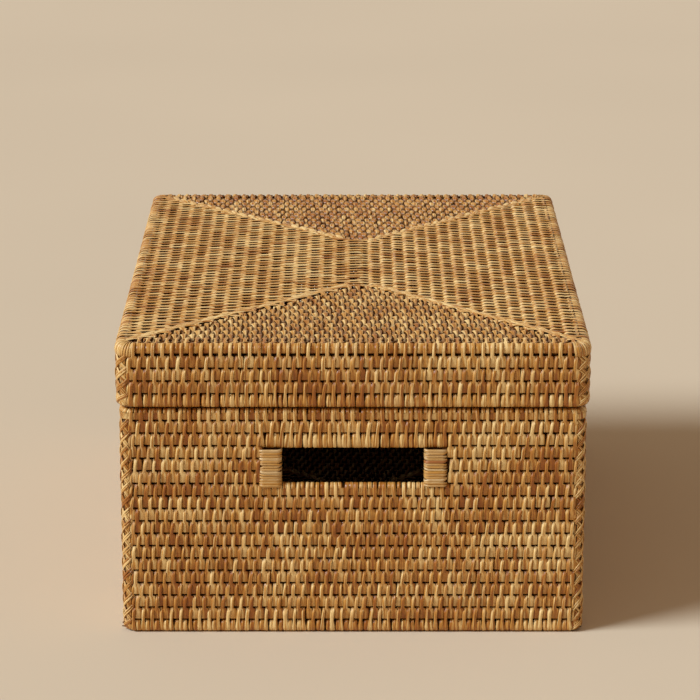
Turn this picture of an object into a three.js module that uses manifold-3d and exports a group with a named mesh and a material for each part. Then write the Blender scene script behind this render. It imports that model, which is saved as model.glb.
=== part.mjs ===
// A woven rattan storage box with a lift-off lid and a hand hold in each short end.
// Millimetres, +Z up. The origin is the middle of the underside; the short ends face -Y and +Y.
// Each row of the weave is one solid: a rattan rod together with the cane wrapped round it.

import * as THREE from "three";
import { mergeVertices } from "three/addons/utils/BufferGeometryUtils.js";
import Module from "manifold-3d";

const wasm = await Module();
wasm.setup();

// Driving dimensions: the box
const boxWidth = 305; // across a short end
const boxDepth = 425; // from one short end to the other
const boxHeight = 198.85; // with the lid on
const wallThickness = 7.6; // a wrapped rod, through the wall
const innerCornerRadius = 0.9; // inside face of a wall corner
const bodyRows = 18;
const lidRows = 5;
const rowGap = 0.3; // between rods that touch
const lidSeatGap = 0.5; // dark parting line between the body and the lid
const lidOverhang = 1.9; // the lid's rods are thicker and stand out this far past the body
const lidFootExtra = 1.2; // more cane wrapped round the lid's lowest rod makes it taller

// Driving dimensions: the section of a wrapped rod
const rodLand = 2.4; // flat strip where a rod lies on its neighbour
const rodSideFlat = 1.2; // straight middle of a rod's side
const rodFacets = 2; // facets in each quarter of the section
const cornerFacets = 3; // facets round each corner of a row

// Driving dimensions: the lid top and the base
const panelThickness = 7.6;
const panelRods = 16; // concentric rods between the edge row and the ridge
const ridgeWidth = 8.3;
const ridgeOffset = 5; // the hand-made ridge lies this far to the right of the middle
const rodFusion = 0.2; // how far the base's rods run into each other

// Driving dimensions: the hand holds
const holdWidth = 92; // clear opening between the binders
const holdRows = 3; // rows that the opening takes out
const rowsAboveHold = 3;
const binderWidth = 15.8;
const binderProud = 0.6; // how far a binder stands out from each face of the wall
const binderRounding = 3.6; // upright edges of a binder
const binderEase = 0.8; // rounded top and bottom edges of a binder

// Driving dimensions: the laths that hold the lid in place
const lathThickness = 2.6;
const lathBelowRim = 15;
const lathAboveRim = 12;
const lathEase = 0.7; // eased edges at the top and the bottom

// Sizes that follow
const rowPitch = (boxHeight + 2 * rowGap - lidSeatGap - lidFootExtra) / (bodyRows + lidRows);
const rowHeight = rowPitch - rowGap;
const bodyHeight = bodyRows * rowPitch - rowGap;
const lidHeight = lidRows * rowPitch - rowGap + lidFootExtra;
const holdFirstRow = bodyRows - rowsAboveHold - holdRows;
const insideGap = rowGap + innerCornerRadius * (1 - Math.SQRT1_2); // clears the rounded corners too
const insideHalfWidth = boxWidth / 2 - wallThickness - insideGap;
const insideHalfDepth = boxDepth / 2 - wallThickness - insideGap;
const panelPitch = (insideHalfWidth - ridgeWidth / 2) / panelRods;
const ridgeStep = ridgeOffset / panelRods; // how far each rod lies to the right of the one outside it

const honeyRattan = new THREE.MeshStandardMaterial({ color: 0xb98645, roughness: 0.55, metalness: 0 });
const paleCane = new THREE.MeshStandardMaterial({ color: 0xd6b070, roughness: 0.5, metalness: 0 });
const plainLath = new THREE.MeshStandardMaterial({ color: 0xa97c48, roughness: 0.7, metalness: 0 });

// Points of a rectangle with its four corners rounded, anticlockwise.
function roundedRectangle(halfWidth, halfDepth, radius) {
  const points = [];
  for (let corner = 0; corner < 4; corner++) {
    const start = (corner * Math.PI) / 2;
    const middle = start + Math.PI / 4;
    const x = (halfWidth - radius) * Math.sign(Math.cos(middle));
    const y = (halfDepth - radius) * Math.sign(Math.sin(middle));
    const arc = new THREE.EllipseCurve(x, y, radius, radius, start, start + Math.PI / 2);
    points.push(...arc.getPoints(cornerFacets));
  }
  return points;
}

// Points of a rectangle with sharp, mitred corners, anticlockwise, at centreX.
function mitredRectangle(halfWidth, halfDepth, centreX) {
  return [
    new THREE.Vector2(centreX + halfWidth, halfDepth),
    new THREE.Vector2(centreX - halfWidth, halfDepth),
    new THREE.Vector2(centreX - halfWidth, -halfDepth),
    new THREE.Vector2(centreX + halfWidth, -halfDepth),
  ];
}

// A flat frame between two closed outlines.
function frameShape(outer, inner) {
  const shape = new THREE.Shape(outer);
  shape.holes.push(new THREE.Path(inner));
  return shape;
}

// Swells a flat shape, as wide as a rod's land, into a rod of oval section that stands on z = 0.
function rodGeometry(landShape, swell, height) {
  const rise = (height - rodSideFlat) / 2;
  const geometry = new THREE.ExtrudeGeometry(landShape, {
    depth: rodSideFlat,
    bevelThickness: rise,
    bevelSize: swell,
    bevelSegments: rodFacets,
  });
  return geometry.translate(0, 0, rise);
}

// One row of a wall: a wrapped rod that runs round all four corners. The inner faces of all rows line
// up, and a rod with an overhang is thicker by it on the outside.
function wallRow(overhang, height) {
  const thickness = wallThickness + overhang;
  const halfWidth = boxWidth / 2 + overhang;
  const halfDepth = boxDepth / 2 + overhang;
  const swell = (thickness - rodLand) / 2;
  const inset = swell + rodLand;
  const radius = innerCornerRadius + thickness;
  const outer = roundedRectangle(halfWidth - swell, halfDepth - swell, radius - swell);
  const inner = roundedRectangle(halfWidth - inset, halfDepth - inset, radius - inset);
  return rodGeometry(frameShape(outer, inner), swell, height);
}

// Rod number index of a panel, counted from the outside, as a mitred frame. Its section is rodWidth wide.
function panelRod(index, rodWidth) {
  const swell = (rodWidth - rodLand) / 2;
  const centreX = index * ridgeStep;
  const outerHalfWidth = insideHalfWidth - index * panelPitch - swell;
  const outerHalfDepth = insideHalfDepth - index * panelPitch - swell;
  const outer = mitredRectangle(outerHalfWidth, outerHalfDepth, centreX);
  const inner = mitredRectangle(outerHalfWidth - rodLand, outerHalfDepth - rodLand, centreX);
  return rodGeometry(frameShape(outer, inner), swell, panelThickness);
}

// The straight rod in the middle of a panel, grown by extra on every side.
function ridgeRod(extra) {
  const swell = (ridgeWidth - rodLand) / 2;
  const halfDepth = insideHalfDepth - panelRods * panelPitch - swell + extra;
  const land = mitredRectangle(rodLand / 2 + extra, halfDepth, ridgeOffset);
  return rodGeometry(new THREE.Shape(land), swell, panelThickness);
}

// A closed three.js geometry as a solid that can be cut and joined.
function solidOf(geometry) {
  const bare = geometry.clone();
  bare.deleteAttribute("normal");
  bare.deleteAttribute("uv");
  const merged = mergeVertices(bare);
  return new wasm.Manifold(
    new wasm.Mesh({
      numProp: 3,
      vertProperties: merged.attributes.position.array,
      triVerts: new Uint32Array(merged.index.array),
    }),
  );
}

// A solid as a flat-shaded three.js geometry.
function geometryOf(solid) {
  const mesh = solid.getMesh();
  const indexed = new THREE.BufferGeometry();
  indexed.setAttribute("position", new THREE.BufferAttribute(mesh.vertProperties, 3));
  indexed.setIndex(new THREE.BufferAttribute(mesh.triVerts, 1));
  const geometry = indexed.toNonIndexed();
  geometry.computeVertexNormals();
  return geometry;
}

// The two C-shaped halves of a wall row, left one first. One straight cut through the whole box
// makes room for the hand hold and its binders in both short ends.
function cutRowHalves(row) {
  const cutWidth = holdWidth + 2 * (binderWidth + rowGap);
  const throughCut = new THREE.BoxGeometry(cutWidth, boxDepth + wallThickness, 2 * rowPitch);
  const halves = solidOf(row).subtract(solidOf(throughCut)).decompose();
  halves.sort((a, b) => a.boundingBox().min[0] - b.boundingBox().min[0]);
  return halves.map(geometryOf);
}

// The wrapped post that caps the cut rows at one end of a hand hold.
function binder() {
  const outline = roundedRectangle(
    binderWidth / 2 - binderEase,
    wallThickness / 2 + binderProud - binderEase,
    binderRounding - binderEase,
  );
  const height = holdRows * rowPitch - rowGap;
  const geometry = new THREE.ExtrudeGeometry(new THREE.Shape(outline), {
    depth: height - 2 * binderEase,
    bevelThickness: binderEase,
    bevelSize: binderEase,
    bevelSegments: 1,
  });
  return geometry.translate(0, 0, binderEase);
}

// A straight lath on its edge, width along X and depth along Y, standing on z = 0.
function lath(width, depth) {
  const outline = mitredRectangle(width / 2 - lathEase, depth / 2 - lathEase, 0);
  const geometry = new THREE.ExtrudeGeometry(new THREE.Shape(outline), {
    depth: lathBelowRim + lathAboveRim - 2 * lathEase,
    bevelThickness: lathEase,
    bevelSize: lathEase,
    bevelSegments: 1,
  });
  return geometry.translate(0, 0, lathEase);
}

// The base: the same mitred rods as the lid top, bound into one stiff panel.
function basePanel() {
  const rodWidth = panelPitch + rodFusion;
  let panel = solidOf(ridgeRod(rodFusion));
  for (let index = 0; index < panelRods; index++) {
    panel = panel.add(solidOf(panelRod(index, rodWidth)));
  }
  return geometryOf(panel);
}

function addPiece(group, name, geometry, material, x, y, z) {
  const mesh = new THREE.Mesh(geometry, material);
  mesh.name = name;
  mesh.position.set(x, y, z);
  group.add(mesh);
}

function twoDigits(number) {
  return String(number).padStart(2, "0");
}

function addBodyRows(group) {
  const row = wallRow(0, rowHeight);
  const [leftHalf, rightHalf] = cutRowHalves(row);
  for (let index = 0; index < bodyRows; index++) {
    const name = "body_row_" + twoDigits(index + 1);
    const z = index * rowPitch;
    if (index >= holdFirstRow && index < holdFirstRow + holdRows) {
      addPiece(group, name + "_left", leftHalf, honeyRattan, 0, 0, z);
      addPiece(group, name + "_right", rightHalf, honeyRattan, 0, 0, z);
    } else {
      addPiece(group, name, row, honeyRattan, 0, 0, z);
    }
  }
}

function addBinders(group) {
  const post = binder();
  const x = holdWidth / 2 + binderWidth / 2;
  const y = boxDepth / 2 - wallThickness / 2;
  const z = holdFirstRow * rowPitch;
  addPiece(group, "front_hold_binder_left", post, paleCane, -x, -y, z);
  addPiece(group, "front_hold_binder_right", post, paleCane, x, -y, z);
  addPiece(group, "back_hold_binder_left", post, paleCane, -x, y, z);
  addPiece(group, "back_hold_binder_right", post, paleCane, x, y, z);
}

// Four laths inside the rim of the body. They stand above the rim, inside the lid, and keep it in place.
function addLocatingLaths(group) {
  const sideLath = lath(lathThickness, 2 * insideHalfDepth);
  const endLath = lath(2 * (insideHalfWidth - lathThickness - rowGap), lathThickness);
  const x = insideHalfWidth - lathThickness / 2;
  const y = insideHalfDepth - lathThickness / 2;
  const z = bodyHeight - lathBelowRim;
  addPiece(group, "locating_lath_left", sideLath, plainLath, -x, 0, z);
  addPiece(group, "locating_lath_right", sideLath, plainLath, x, 0, z);
  addPiece(group, "locating_lath_front", endLath, plainLath, 0, -y, z);
  addPiece(group, "locating_lath_back", endLath, plainLath, 0, y, z);
}

function boxBody() {
  const group = new THREE.Group();
  group.name = "box_body";
  addPiece(group, "base_panel", basePanel(), honeyRattan, 0, 0, 0);
  addBodyRows(group);
  addBinders(group);
  addLocatingLaths(group);
  return group;
}

// The lid in its own frame, with its lower edge at z = 0.
function liftOffLid() {
  const group = new THREE.Group();
  group.name = "lid";
  addPiece(group, "lid_row_1", wallRow(lidOverhang, rowHeight + lidFootExtra), honeyRattan, 0, 0, 0);
  const row = wallRow(lidOverhang, rowHeight);
  for (let index = 1; index < lidRows; index++) {
    const z = index * rowPitch + lidFootExtra;
    addPiece(group, "lid_row_" + (index + 1), row, honeyRattan, 0, 0, z);
  }
  const panelZ = lidHeight - panelThickness;
  const rodWidth = panelPitch - ridgeStep - rowGap;
  for (let index = 0; index < panelRods; index++) {
    const name = "lid_top_rod_" + twoDigits(index + 1);
    addPiece(group, name, panelRod(index, rodWidth), honeyRattan, 0, 0, panelZ);
  }
  addPiece(group, "lid_ridge_rod", ridgeRod(0), honeyRattan, 0, 0, panelZ);
  return group;
}

const box = new THREE.Group();
box.name = "rattan_box";
const lid = liftOffLid();
lid.position.z = bodyHeight + lidSeatGap;
box.add(boxBody(), lid);

export default box;
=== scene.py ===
import math

import bpy
import numpy as np
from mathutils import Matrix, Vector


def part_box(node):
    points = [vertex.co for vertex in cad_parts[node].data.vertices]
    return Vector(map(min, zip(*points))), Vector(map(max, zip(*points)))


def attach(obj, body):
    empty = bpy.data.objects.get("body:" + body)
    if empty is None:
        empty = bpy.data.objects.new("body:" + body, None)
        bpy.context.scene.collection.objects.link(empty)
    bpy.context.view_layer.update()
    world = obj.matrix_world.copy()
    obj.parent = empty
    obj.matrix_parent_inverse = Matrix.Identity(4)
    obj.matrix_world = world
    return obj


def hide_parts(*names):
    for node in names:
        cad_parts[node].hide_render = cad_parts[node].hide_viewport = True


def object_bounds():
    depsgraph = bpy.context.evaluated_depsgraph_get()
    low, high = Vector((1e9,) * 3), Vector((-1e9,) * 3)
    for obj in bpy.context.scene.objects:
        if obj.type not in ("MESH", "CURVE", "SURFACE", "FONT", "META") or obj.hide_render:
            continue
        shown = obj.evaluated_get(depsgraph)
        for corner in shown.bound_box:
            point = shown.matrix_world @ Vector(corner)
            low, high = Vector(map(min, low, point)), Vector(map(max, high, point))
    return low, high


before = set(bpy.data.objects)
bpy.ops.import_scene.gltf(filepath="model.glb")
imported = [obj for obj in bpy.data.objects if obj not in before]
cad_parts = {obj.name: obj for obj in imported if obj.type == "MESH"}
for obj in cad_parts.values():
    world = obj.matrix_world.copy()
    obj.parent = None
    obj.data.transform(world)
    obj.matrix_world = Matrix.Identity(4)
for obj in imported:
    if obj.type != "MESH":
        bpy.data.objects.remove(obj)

bl_info = {
    "name": "Woven Rattan Box",
    "version": (1, 0, 0),
    "blender": (4, 5, 0),
    "location": "View3D > Sidebar > Rattan Box",
    "description": "Weaves split cane over the rods of a rattan storage box with a lift-off lid",
    "category": "Object",
}

# The CAD's box, before anything is added to the scene
CAD_BOX = [list(corner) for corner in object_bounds()]

# Every surface is worked out in millimetres and turned into metres when its mesh is made.
MM = 0.001


def node_low(node):
    """The lowest corner of a CAD node, in millimetres."""
    return np.array(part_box(node)[0]) / MM


def node_high(node):
    """The highest corner of a CAD node, in millimetres."""
    return np.array(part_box(node)[1]) / MM


def nodes_called(start):
    """The names of the CAD nodes that begin with some letters."""
    return [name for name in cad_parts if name.startswith(start)]


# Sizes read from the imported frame
BODY_ROW_NODES = nodes_called("body_row_")
LID_NODES = nodes_called("lid_")
LATHS = nodes_called("locating_lath_")
BINDERS = [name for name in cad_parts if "_hold_binder_" in name]
BODY_ROWS = len({name[:len("body_row_01")] for name in BODY_ROW_NODES})
LID_ROWS = len(nodes_called("lid_row_"))
PANEL_RODS = len(nodes_called("lid_top_rod_"))
LID_TOP = CAD_BOX[1][2] / MM
LID_FOOT = node_low("lid_row_1")[2]
LID_UNDERSIDE = node_low("lid_ridge_rod")[2]
BODY_TOP = node_high("body_row_%02d" % BODY_ROWS)[2]
BASE_TOP = node_high("base_panel")[2]
HALF_WIDTH, HALF_DEPTH, ROW_HEIGHT = node_high("body_row_01")
ROW_PITCH = node_low("body_row_02")[2]
ROW_GAP = ROW_PITCH - ROW_HEIGHT
LID_OVERHANG = node_high("lid_row_1")[0] - HALF_WIDTH

# The hand holds, and the body rows that they cut, counted from 0 at the top
HOLD_LOW = node_low("front_hold_binder_left")[2]
HOLD_HIGH = node_high("front_hold_binder_left")[2]
BINDER_END = node_high("front_hold_binder_right")[0]
FIRST_CUT_ROW = round((BODY_TOP - HOLD_HIGH) / ROW_PITCH)
LAST_CUT_ROW = FIRST_CUT_ROW + round((HOLD_HIGH - HOLD_LOW) / ROW_PITCH) - 1
LAST_ROW = BODY_ROWS - 1

# The rods of a panel close in at their own rate on each side, because the ridge is a little off the middle.
PANEL_INSET = HALF_WIDTH - node_high("lid_top_rod_01")[0]
LEFT_PITCH = node_low("lid_top_rod_02")[0] - node_low("lid_top_rod_01")[0]
RIGHT_PITCH = node_high("lid_top_rod_01")[0] - node_high("lid_top_rod_02")[0]
END_PITCH = node_high("lid_top_rod_01")[1] - node_high("lid_top_rod_02")[1]
RIDGE_WIDTH = node_high("lid_ridge_rod")[0] - node_low("lid_ridge_rod")[0]
RIDGE_MIDDLE = (node_high("lid_ridge_rod")[0] + node_low("lid_ridge_rod")[0]) / 2
RIDGE_END = node_high("lid_ridge_rod")[1]

# Sizes of the wall's section
WALL_THICKNESS = 7.6
CORNER_RADIUS = 8.5
EDGE_RADIUS = 5.0
ARC_LENGTH = math.pi / 2 * CORNER_RADIUS
EDGE_ARC_LENGTH = math.pi / 2 * EDGE_RADIUS
WALL_MIDDLE = -WALL_THICKNESS / 2
LID_WALL_THICKNESS = WALL_THICKNESS + LID_OVERHANG

# The four walls in the order in which the outline runs, anticlockwise from the front one
WALLS = ("front", "right", "back", "left")
WALL_REACH = (HALF_WIDTH, HALF_DEPTH, HALF_WIDTH, HALF_DEPTH)
WALL_ROD_PITCH = (END_PITCH, RIGHT_PITCH, END_PITCH, LEFT_PITCH)

# Rods under the weave. A rod at an edge is smaller, as cane runs right round it.
ROD_HALF_OUT = 2.0
ROD_HALF_UP = 4.1
EDGE_ROD_HALF_UP = 2.9
EDGE_ROD_DROP = 0.5
ROD_END_INSIDE = 4.0
ROD_SIDES = 14
ROD_ARC_STEPS = 6
PANEL_ROD_GAP = 0.5
PANEL_ROD_SETBACK = 0.15

# Spacing of the strands on the walls and on each side of a panel. Each row is set off from the one above by
# a share of the spacing.
STRAND_SPACING = 6.25
PANEL_SPACING = (6.25, 7.1, 6.5, 7.1)
ROW_SHIFT = 0.45

# The usual width of a strand, for which the widths of the knots below hold
USUAL_WIDTH = 3.0

# How far strands differ by chance: in place, in lean for each row, in rise and in their share of the width,
# which is kept within limits
PLACE_SPREAD = 0.24
LEAN_SPREAD = 0.27
RISE_SPREAD = 0.14
WIDTH_SPREAD = 0.11
WIDTH_LIMITS = (0.75, 1.25)

# Tone: the length of a patch of one colour, how much patches and each strand's own tone count, and how far
# apart the grain of neighbouring strands is read
TONE_PATCH = 34.0
WALL_PATCHINESS = 0.75
PANEL_PATCHINESS = 0.4
OWN_TONE = 0.22
LANE_STEP = 7.3

# Red cast of the warmest strand, how fast it fades over the others, and what the darkest strands have besides
WARMEST = 0.3
WARMTH_FALL = 1.6
DARK_WARMTH = 0.25

# Painted shade: a strand begins to darken at a rise, and is all dark a little lower.
DARK_START = -1.15
DARK_SPAN = 1.8

# Random draws of each kind of piece begin from their own number, a step further on for each wall.
SEED_STEP = 10
BODY_CORNER_SEED = 40
LID_CORNER_SEED = 41
BINDER_SEED = 60
LATH_SEED = 70
BODY_WALL_SEED = 100
LID_WALL_SEED = 300
LID_TOP_SEED = 500
LID_UNDERSIDE_SEED = 550
LID_SEAM_SEED = 590
BASE_SEED = 700
BASE_SEAM_SEED = 790

# A strand's section: across as a share of its width, and height as a share of its thickness.
FULL_SECTION = np.array([[-0.5, -0.1], [-0.4, 0.28], [-0.02, 0.44], [0.37, 0.3], [0.5, -0.1], [0.0, -0.4]])
LEAN_SECTION = np.array([[-0.5, -0.1], [0.0, 0.45], [0.5, -0.1], [0.0, -0.4]])

# Knots of a strand that crosses two rows: row, rise, width, sideways shift, and skew, which is how far its
# right edge runs ahead for each millimetre of width. It slopes out of the gap above its first row, bridges
# the next gap and lies flat on the row after.
CROSSING = np.array([
    [0.01, -2.7, 2.9, 0.6, 0.0],
    [0.06, -1.9, 3.2, 0.6, 0.2],
    [0.15, -1.4, 3.2, 0.6, 0.5],
    [0.27, -0.8, 3.0, 0.5, 0.7],
    [0.38, -0.5, 2.8, 0.35, 0.5],
    [0.66, -0.45, 2.6, 0.15, 0.1],
    [0.98, -0.8, 2.4, 0.0, 0.0],
    [1.09, -1.25, 4.9, 0.4, 0.0],
    [1.34, -1.35, 5.6, 0.5, 0.0],
    [1.84, -1.5, 5.8, 0.45, 0.0],
    [1.92, -2.8, 5.5, 0.45, 0.0],
])

# Parts of that strand: how it comes up, the bridge with what follows it, and how it lies on its second row
CROSSING_START = CROSSING[:6]
CROSSING_END = CROSSING[6:]
CROSSING_REST = CROSSING[8:]

# How a strand comes up that lies on an edge row alone, straight and beside its neighbours
EDGE_START = np.array([
    [0.02, -2.7, 2.9, 0.1, 0.0],
    [0.08, -1.7, 3.2, 0.1, 0.2],
    [0.20, -1.0, 3.3, 0.05, 0.2],
    [0.34, -0.8, 3.2, 0.0, 0.0],
])

# The low bridge of a strand over the gap before it wraps under an edge
UNDER_BRIDGE = np.array([
    [0.98, -0.85, 2.3, 0.0, 0.0],
    [1.20, -0.9, 2.9, 0.0, 0.0],
])

# A strand on the front of the lid's top, where its first half stands up as a knob with a horn to the right
KNOB = np.array([
    [0.00, -2.9, 2.6, 0.0, 0.5],
    [0.07, -1.8, 3.5, 0.0, 0.8],
    [0.16, -0.8, 4.0, 0.0, 0.9],
    [0.30, -0.5, 3.9, 0.1, 0.6],
    [0.52, -0.65, 3.1, 0.4, 0.2],
    [0.76, -1.4, 2.2, 0.8, 0.0],
    [0.98, -2.0, 2.1, 0.9, 0.0],
    [1.30, -2.1, 3.6, 0.8, 0.0],
    [1.62, -2.1, 4.4, 0.7, 0.0],
    [1.84, -2.5, 4.0, 0.6, 0.0],
    [1.92, -3.4, 3.0, 0.6, 0.0],
])

# The knob as it stands on the back of the lid's top, where the second halves fill the space between knobs
BACK_KNOB = np.array([
    [0.00, -2.9, 2.8, 0.0, -0.3],
    [0.07, -1.8, 3.6, 0.0, -0.5],
    [0.16, -0.9, 4.1, 0.0, -0.5],
    [0.30, -0.6, 4.1, 0.05, -0.4],
    [0.52, -0.7, 3.5, 0.15, -0.2],
    [0.76, -1.3, 2.7, 0.25, 0.0],
    [0.98, -1.9, 2.6, 0.3, 0.0],
    [1.14, -2.1, 3.7, 0.3, 0.0],
    [1.40, -2.05, 4.7, 0.3, 0.0],
    [1.84, -2.4, 4.6, 0.2, 0.0],
    [1.92, -3.3, 3.6, 0.2, 0.0],
])

# The same on the left and the right of the lid's top, where both halves lie high in the middle of a rod
# and leave dark slits over the gaps between the rods
SLIT = np.array([
    [0.06, -3.8, 1.9, 1.1, 0.4],
    [0.16, -2.4, 2.8, 0.9, 0.5],
    [0.26, -1.2, 3.4, 0.7, 0.5],
    [0.36, -0.7, 3.7, 0.5, 0.4],
    [0.55, -0.5, 3.7, 0.2, 0.2],
    [0.75, -0.5, 3.2, 0.0, 0.0],
    [1.00, -0.62, 2.9, 0.0, 0.0],
    [1.25, -0.72, 3.2, -0.1, 0.0],
    [1.45, -0.8, 3.8, -0.2, 0.2],
    [1.62, -1.1, 3.7, -0.4, 0.4],
    [1.75, -2.2, 3.2, -0.6, 0.4],
    [1.87, -3.8, 2.1, -0.8, 0.4],
])

# The plainer strand of the faces that are seldom seen, and one that ends at the foot of its first row
ONE_ROW = np.array([1.0, 0.0, 0.0, 0.0, 0.0])
LEAN_CROSSING = CROSSING[::2]
LEAN_SHORT = np.concatenate([LEAN_CROSSING[:2], LEAN_CROSSING[-2:] - ONE_ROW])

# The second half of a plainer strand at the edge of a panel, which ends inside the wall around it
LEAN_EDGE_HALF = LEAN_CROSSING[3:] * np.array([0.8, 1.0, 1.0, 1.0, 1.0])

# The second half of a strand that ends on the lid's edge rod, at the front and the back
EDGE_HALF = CROSSING[5:]

# The same on the left and the right, where all strands lie high on the edge rod, side by side
SIDE_EDGE_HALF = np.array([
    [0.76, -0.5, 3.1, 0.0, 0.0],
    [1.00, -0.75, 2.8, 0.0, 0.0],
    [1.18, -0.65, 3.3, 0.0, 0.0],
    [1.45, -0.55, 3.5, 0.0, 0.0],
    [1.75, -0.65, 3.4, 0.0, 0.0],
    [1.93, -2.6, 3.2, 0.0, 0.0],
])

# The strand that starts on that edge rod and crosses the gap below it
SIDE_EDGE_CROSSING = np.concatenate([
    [
        [0.00, -2.7, 2.8, 0.2, 0.0],
        [0.07, -1.3, 3.3, 0.1, 0.0],
        [0.20, -0.7, 3.5, 0.0, 0.0],
        [0.45, -0.5, 3.4, 0.0, 0.0],
    ],
    CROSSING[5:] * np.array([1.0, 1.0, 1.0, 0.0, 1.0]),
])

# A strand of the plaited corners: it runs down a row and a half from one side of the corner to the other.
PLAIT = np.array([
    [-0.20, -2.9, 1.8, 5.8, 0.0],
    [-0.02, -1.5, 2.7, 5.1, 0.0],
    [0.22, -0.7, 3.4, 3.2, 0.0],
    [0.48, -0.35, 3.9, 0.9, 0.0],
    [0.74, -0.35, 3.9, -1.4, 0.0],
    [0.98, -0.7, 3.5, -3.4, 0.0],
    [1.20, -1.4, 2.8, -4.9, 0.0],
    [1.36, -2.9, 1.9, -5.8, 0.0],
])

# A strand of the fans over the lid's rounded upper corners, from the lid's top over the edge rod
FAN = np.array([
    [-0.35, -2.6, 0.7, 0.0, 0.0],
    [-0.05, -1.3, 1.0, 0.0, 0.0],
    [0.25, -0.7, 1.4, 0.0, 0.0],
    [0.45, -0.55, 1.7, 0.0, 0.0],
    [0.62, -0.5, 1.9, 0.0, 0.0],
    [0.80, -0.5, 2.0, 0.0, 0.0],
    [0.98, -0.9, 1.9, 0.0, 0.0],
    [1.20, -2.6, 1.5, 0.0, 0.0],
])

# A long leaf that lies along a seam. Its row is one leaf's share of the seam.
SEAM_LEAF = np.array([
    [-0.05, -2.6, 1.0, 1.3, 0.0],
    [0.15, -1.3, 2.2, 1.0, 0.0],
    [0.42, -0.7, 3.1, 0.55, 0.0],
    [0.75, -0.5, 3.5, 0.1, 0.0],
    [1.10, -0.55, 3.3, -0.35, 0.0],
    [1.45, -1.1, 2.6, -0.8, 0.0],
    [1.75, -2.6, 1.2, -1.1, 0.0],
])

# A leaf of a back seam, which slants out over the panel beside it like the barb of a feather
BARB = np.array([
    [-0.10, -2.4, 1.6, 1.8, 0.0],
    [0.10, -0.9, 2.8, 1.2, 0.0],
    [0.45, -0.5, 4.2, -0.2, 0.0],
    [0.85, -0.5, 4.2, -1.8, 0.0],
    [1.20, -0.9, 3.0, -3.2, 0.0],
    [1.45, -2.6, 1.6, -4.2, 0.0],
])

# A short thin strand that slants from a seam onto the front triangle
HATCH = np.array([
    [0.00, -2.8, 1.4, -1.0, 0.0],
    [0.25, -1.4, 1.8, -1.8, 0.0],
    [0.60, -0.7, 2.0, -3.0, 0.0],
    [0.95, -0.9, 1.8, -4.2, 0.0],
    [1.20, -2.4, 1.4, -5.0, 0.0],
])

# The strands of the four sides of the lid's top, and how much paler than the walls each side is
LID_TOP_KNOTS = (KNOB, SLIT, BACK_KNOB, SLIT)
LID_TOP_PALER = (0.02, 0.05, -0.14, 0.05)

# A row of a panel ends where the diagonal has crossed a share of its first rod. Over the ridge, it ends that
# share of a rod before the diagonals meet.
DIAGONAL_SHARE = 0.9
RIDGE_SHARE = 0.2

# Cane round a rim: angles over its upper edge, from the inner to the outer face, and back under a lower edge
OVER_ANGLES = np.radians([185, 155, 125, 95, 70, 45, 20, 0])
UNDER_ANGLES = -OVER_ANGLES[::-1]
OVER_WIDTH = 2.9
UNDER_WIDTH = 3.7
RIM_INSIDE = 0.5

# How much lower the cane lies on a rim: beside a crossing strand, under an edge, and under it alone
BESIDE_SINK = 0.3
UNDER_SINK = 0.2
UNDER_ONLY_SINK = 0.25

# How far the cane round the upper and the lower edge of a hand hold reaches into it
HOLD_TOP_EXTRA = 1.9
HOLD_FOOT_EXTRA = 0.7

# Plaited corners: how far they reach, how far the two halves of a strand lie apart and up, in rows, their
# share of its width, how much lower the plait beneath lies, how far a plait strays by chance, and how much
# shorter the last one is
PLAIT_REACH = 5.6
PLAIT_SPLIT = 0.11
PLAIT_LIFT = 0.1
PLAIT_SHARE = 0.43
PLAIT_SINK = 0.35
PLAIT_SPREAD = 0.15
LAST_PLAIT = np.array([0.62, 1.0, 1.0, 1.0, 1.0])

# The strands that fill a corner under its plaits: their places and how much lower they lie
FILL_OFFSETS = np.array([-5.4, -2.7, 0.0, 2.7, 5.4])
FILL_SINK = 0.9

# Strands round the rims at a corner, and the fans: their places, their lean and how much lower the foot lies
RIM_OFFSETS = np.linspace(-6.5, 6.5, 6)
FAN_OFFSETS = np.linspace(-8.0, 8.0, 11)
BODY_CORNER_LEAN = 2.5
LID_CORNER_LEAN = 2.2
FAN_CENTRING = 0.8
BODY_FOOT_SINK = 0.5
LID_FOOT_SINK = 0.3

# Seams: the length of a leaf's share, how far the leaves run past both ends, and for each leaf how many
# shares it is moved, its rise, its place beside the diagonal and how much paler it is
SEAM_LEAF_SHARE = 12.4
SEAM_BEFORE = 2.0
SEAM_AFTER = 4.0
FRONT_LEAVES = ((0.0, 0.0, 5.4, 0.3), (0.5, 0.05, 3.0, 0.2))
BACK_LEAVES = ((0.3, -0.1, 2.4, 0.2),)

# The slanting strands of the seams: knots, spacing, place beside the diagonal and how much paler
FRONT_SLANTS = (HATCH, 4.4, 0.0, 0.0)
BACK_SLANTS = (BARB, 9.0, 0.6, 0.45)

# Binders: their wraps, and the core inside them
BINDER_ROUNDING = 3.6
BINDER_SAG = 1.9
WRAP_HEIGHT = 1.82
WRAP_INSET = 0.6
WRAP_TIP = 0.6
WRAP_WIDTH = 1.15
WRAP_NARROWING = 0.6
WRAP_SPREAD = 0.12
WRAP_TONE = 0.46
WRAP_TONE_SPREAD = 0.3
WARM_WRAP_SHARE = 0.12
WARM_WRAP = 0.9
USUAL_WRAP_WARMTH = 0.04
CORE_INSET = 0.8
CORE_SHORTER = 0.2

# Laths: their edge rounding, their stations as shares of half the length, and how full the rounding is there
LATH_ROUNDING = 1.15
LATH_STATIONS = np.array([-1, -0.9985, -0.995, 0.995, 0.9985, 1])
LATH_FULLNESS = np.array([0.55, 0.86, 1, 1, 0.86, 0.55])
LATH_TONE = 0.55
LATH_TONE_SPREAD = 0.1
LATH_WARMTH = 0.1

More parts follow.
